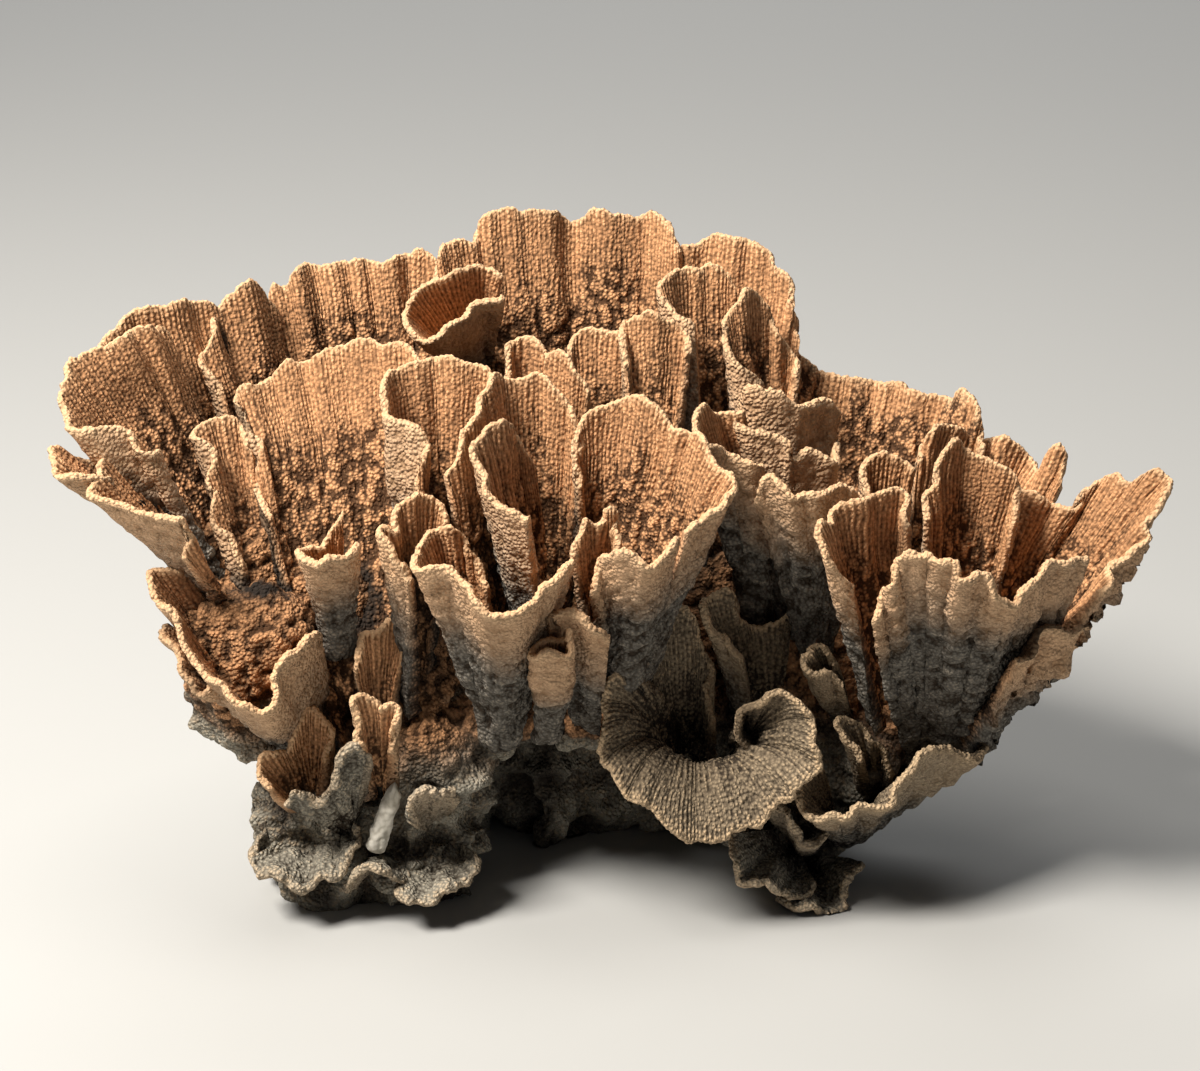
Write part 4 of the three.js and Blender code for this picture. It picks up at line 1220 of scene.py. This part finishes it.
def plate_material(name, ridges, grooves, grit, colours):
    """Dried plate: grains in ridges, cream edges, grooves darker with depth (partly painted shade), a duller
    nubbly underside.
    """
    if name in bpy.data.materials:
        return bpy.data.materials[name]
    shader = Shader(name)
    relief = shader.mark("relief")
    rim = shader.mark("rim")
    under = shader.mark("under")
    deep = shader.mark("deep")
    patch = shader.cloud(24 * MM, 3.0)
    speck = shader.cloud(1.1 * MM)
    grain = shader.held(1.0 - shader.grains(1.2 * MM) * 1.2)
    height = relief * (0.8 - 0.36 * grit) + grain * (0.2 + 0.36 * grit)

    # The ridged side: grooves, ridges, cream crests. Grooves and the part deep below the rim are darker,
    # partly the coral's own brown and partly painted shade.
    level = 0.72 - deep * 0.78 + (patch - 0.5) * 0.35
    lit = shader.held((height - 0.48) * (1.6 + deep * 2.2) + level)
    pale = shader.held(rim * 0.5 + (height - 0.55) * (1.3 - deep * 1.2) + (speck - 0.5) * 0.4)
    upper = shader.mixed(pale, shader.mixed(lit, grooves, ridges), colours.cream)

    # The underside: warm and pale near the rim, greyer, darker and grimier below; the darkening toward the
    # root is partly its own colour and partly painted shade
    dull = shader.held((height - 0.2) * 1.5 + (patch - 0.5) * 0.6 - deep * 0.12)
    warm = shader.held((1.0 - deep * 1.4 + (patch - 0.5) * 0.8) * (0.45 + height * 0.45))
    paler = tuple(0.55 * ridge + 0.45 * cream for ridge, cream in zip(ridges, colours.cream))
    lower = shader.mixed(warm, shader.mixed(dull, colours.grime, colours.underside), paler)
    lower = shader.mixed(shader.held(rim * 0.5 + (height - 0.6) * 0.6), lower, colours.cream)

    # Painted shade in the recesses, laid over the plate's colour.
    base = shader.with_painted_shade(shader.mixed(under, upper, lower), colours)
    shader.bump((grain + speck * 0.5) * (grit + deep * 0.4 + under * 0.5), 1.0, 1.0 * MM)
    return shader.finish(base, shader.held(0.86 + speck * 0.12))


def ridged_plate(colours):
    """A plate of the colony: tan ridges, brown grooves."""
    return plate_material("ridged_plate", colours.tan, colours.brown, 0.5, colours)


def dusty_shaded_plate(colours):
    """A plate near the floor: dusty beige ridges, dark grooves. Its greyer, darker colour is partly dust and
    partly painted shade under the plates above.
    """
    return plate_material("dusty_shaded_plate", colours.dust_and_shade, colours.grime, 0.9, colours)


def worn_plate(colours):
    """A plate of the eroded foot: beige crust, grimy grooves."""
    return plate_material("worn_plate", colours.holdfast, colours.grime, 1.0, colours)


def holdfast_material(colours):
    """Eroded foot: beige crust with grime in the pits, below brown nodules."""
    shader = Shader("crusted_foot")
    relief = shader.mark("relief")
    grown = shader.mark("grown")
    patch = shader.cloud(16 * MM, 4.0)
    speck = shader.cloud(1.4 * MM, 3.0)
    grain = shader.held(1.0 - shader.grains(1.2 * MM) * 1.2)
    height = relief * 0.7 + grain * 0.3
    worn = shader.held(height * 1.5 + (patch - 0.5) * 0.9 + 0.05)
    crust = shader.mixed(worn, colours.grime, colours.holdfast)
    crust = shader.mixed(shader.held((patch - 0.55) * 2.4 * height), crust, colours.bleached)
    crust = shader.mixed(shader.held((speck - 0.5) * 1.4), crust, colours.cream)
    slope = shader.mixed(shader.held((height - 0.36) * 1.9 + (patch - 0.5) * 0.4), colours.brown, colours.tan)
    # Painted shade in the recesses, laid over the foot's colour.
    base = shader.with_painted_shade(shader.mixed(grown, crust, slope), colours)
    shader.bump(grain + speck * 0.8, 1.0, 1.3 * MM)
    return shader.finish(base, shader.held(0.86 + speck * 0.12))


def finger_material(colours):
    """Bleached stub with fine pores."""
    shader = Shader("bleached_stub")
    relief = shader.mark("relief")
    speck = shader.cloud(1.2 * MM, 3.0)
    worn = shader.held(0.3 + relief * 0.9 + (speck - 0.5) * 0.8)
    base = shader.mixed(worn, colours.holdfast, colours.bleached)
    shader.bump(speck, 0.5, 0.4 * MM)
    return shader.finish(base, shader.held(0.85 + speck * 0.1))


def floor_material(colours):
    """Plain studio floor."""
    shader = Shader("studio_floor")
    return shader.finish(colour(colours.floor), 0.9)


# Operators

class PlateGroup:
    """What the operators for groups of plates share."""

    plates = ()
    first_seed = 1
    finish = staticmethod(ridged_plate)

    def execute(self, context):
        """Builds every plate of the group."""
        sizes = context.scene.coral_sizes
        for k, plate in enumerate(self.plates):
            finish = worn_plate if plate.worn else self.finish
            material = finish(context.scene.coral_colours)
            make_plate(plate, sizes, material, self.first_seed + SEED_STEP * k)
        return {"FINISHED"}


class CORAL_OT_front_plates(PlateGroup, bpy.types.Operator):
    """Build the cups and fans at the front."""

    bl_idname = "coral.front_plates"
    bl_label = "Front plates"
    plates = FRONT_PLATES
    first_seed = 100


class CORAL_OT_left_plates(PlateGroup, bpy.types.Operator):
    """Build the fans and lips on the left."""

    bl_idname = "coral.left_plates"
    bl_label = "Left plates"
    plates = LEFT_PLATES
    first_seed = 500


class CORAL_OT_low_right_plates(PlateGroup, bpy.types.Operator):
    """Build the plates near the floor on the right."""

    bl_idname = "coral.low_right_plates"
    bl_label = "Low right plates"
    plates = LOW_RIGHT_PLATES
    first_seed = 900
    finish = staticmethod(dusty_shaded_plate)


class CORAL_OT_right_plates(PlateGroup, bpy.types.Operator):
    """Build the tiers, the vase and the wing on the right."""

    bl_idname = "coral.right_plates"
    bl_label = "Right plates"
    plates = RIGHT_PLATES
    first_seed = 1300


class CORAL_OT_middle_plates(PlateGroup, bpy.types.Operator):
    """Build the small fans in the middle."""

    bl_idname = "coral.middle_plates"
    bl_label = "Middle plates"
    plates = MIDDLE_PLATES
    first_seed = 1700


class CORAL_OT_back_plates(PlateGroup, bpy.types.Operator):
    """Build the tall fans at the back."""

    bl_idname = "coral.back_plates"
    bl_label = "Back plates"
    plates = BACK_PLATES
    first_seed = 2100


class CORAL_OT_foot_plates(PlateGroup, bpy.types.Operator):
    """Build the small plates on the left foot."""

    bl_idname = "coral.foot_plates"
    bl_label = "Foot plates"
    plates = FOOT_PLATES
    first_seed = 2500


class CORAL_OT_holdfast(bpy.types.Operator):
    """Build the eroded foot that the plates grow from."""

    bl_idname = "coral.holdfast"
    bl_label = "Holdfast"

    def execute(self, context):
        make_holdfast(context.scene.coral_sizes, holdfast_material(context.scene.coral_colours))
        return {"FINISHED"}


class CORAL_OT_finger(bpy.types.Operator):
    """Build the bleached stub of a broken branch."""

    bl_idname = "coral.finger"
    bl_label = "Broken finger"

    def execute(self, context):
        make_finger(context.scene.coral_sizes, finger_material(context.scene.coral_colours))
        return {"FINISHED"}


def add_light(lamp):
    """Puts a soft square light in the scene."""
    data = bpy.data.lights.new(lamp.name, "AREA")
    data.size = lamp.side
    data.energy = lamp.power
    data.color = lamp.tint
    light = bpy.data.objects.new(lamp.name, data)
    bpy.context.scene.collection.objects.link(light)
    light.location = lamp.place
    look = Vector([aim - place for aim, place in zip(lamp.aim, lamp.place)])
    light.rotation_euler = look.to_track_quat("-Z", "Y").to_euler()


def add_camera():
    """The camera where the viewer stands."""
    data = bpy.data.cameras.new("camera")
    data.sensor_fit = "HORIZONTAL"
    data.lens = data.sensor_width * VIEW_DISTANCE / VIEW_WIDTH
    data.dof.use_dof = False
    camera = bpy.data.objects.new("camera", data)
    bpy.context.scene.collection.objects.link(camera)
    camera.location = in_frame(eye_point())
    camera.rotation_euler = (math.pi / 2 - VIEW_TILT, 0, 0)
    bpy.context.scene.camera = camera


class CORAL_OT_stage(bpy.types.Operator):
    """Set the floor, the soft light and the camera."""

    bl_idname = "coral.stage"
    bl_label = "Stage"

    def execute(self, context):
        scene = context.scene
        half = FLOOR_HALF
        mesh = bpy.data.meshes.new("floor")
        corners = [(-half, -half, 0), (half, -half, 0), (half, half, 0), (-half, half, 0)]
        mesh.from_pydata(corners, [], [(0, 1, 2, 3)])
        mesh.materials.append(floor_material(scene.coral_colours))
        floor = bpy.data.objects.new("floor", mesh)
        scene.collection.objects.link(floor)
        world = bpy.data.worlds.new("studio")
        world.use_nodes = True
        sky = world.node_tree.nodes["Background"]
        sky.inputs["Color"].default_value = SKY_TINT
        sky.inputs["Strength"].default_value = SKY_STRENGTH
        scene.world = world
        for lamp in LAMPS:
            add_light(lamp)
        scene.view_settings.view_transform = "Standard"
        add_camera()
        return {"FINISHED"}


class CORAL_PT_panel(bpy.types.Panel):
    """Sizes, colours and the steps that build the coral."""

    bl_idname = "CORAL_PT_panel"
    bl_label = "Plating coral"
    bl_space_type = "VIEW_3D"
    bl_region_type = "UI"
    bl_category = "Coral"

    def draw(self, context):
        for group in (context.scene.coral_sizes, context.scene.coral_colours):
            column = self.layout.column(align=True)
            for key in group.__annotations__:
                column.prop(group, key)
        for operator in OPERATORS:
            self.layout.operator(operator.bl_idname)


OPERATORS = (
    CORAL_OT_front_plates,
    CORAL_OT_left_plates,
    CORAL_OT_low_right_plates,
    CORAL_OT_right_plates,
    CORAL_OT_middle_plates,
    CORAL_OT_back_plates,
    CORAL_OT_foot_plates,
    CORAL_OT_holdfast,
    CORAL_OT_finger,
    CORAL_OT_stage,
)
CLASSES = (CoralSizes, CoralColours, *OPERATORS, CORAL_PT_panel)


def register():
    """Adds the classes and the settings to Blender."""
    for each in CLASSES:
        bpy.utils.register_class(each)
    bpy.types.Scene.coral_sizes = bpy.props.PointerProperty(type=CoralSizes)
    bpy.types.Scene.coral_colours = bpy.props.PointerProperty(type=CoralColours)


def unregister():
    """Takes them out again."""
    del bpy.types.Scene.coral_colours
    del bpy.types.Scene.coral_sizes
    for each in reversed(CLASSES):
        bpy.utils.unregister_class(each)


def main():
    """Builds the coral on its stage."""
    register()
    bpy.ops.coral.front_plates()
    bpy.ops.coral.left_plates()
    bpy.ops.coral.low_right_plates()
    bpy.ops.coral.right_plates()
    bpy.ops.coral.middle_plates()
    bpy.ops.coral.back_plates()
    bpy.ops.coral.foot_plates()
    bpy.ops.coral.holdfast()
    bpy.ops.coral.finger()
    bpy.ops.coral.stage()


if __name__ == "__main__":
    main()
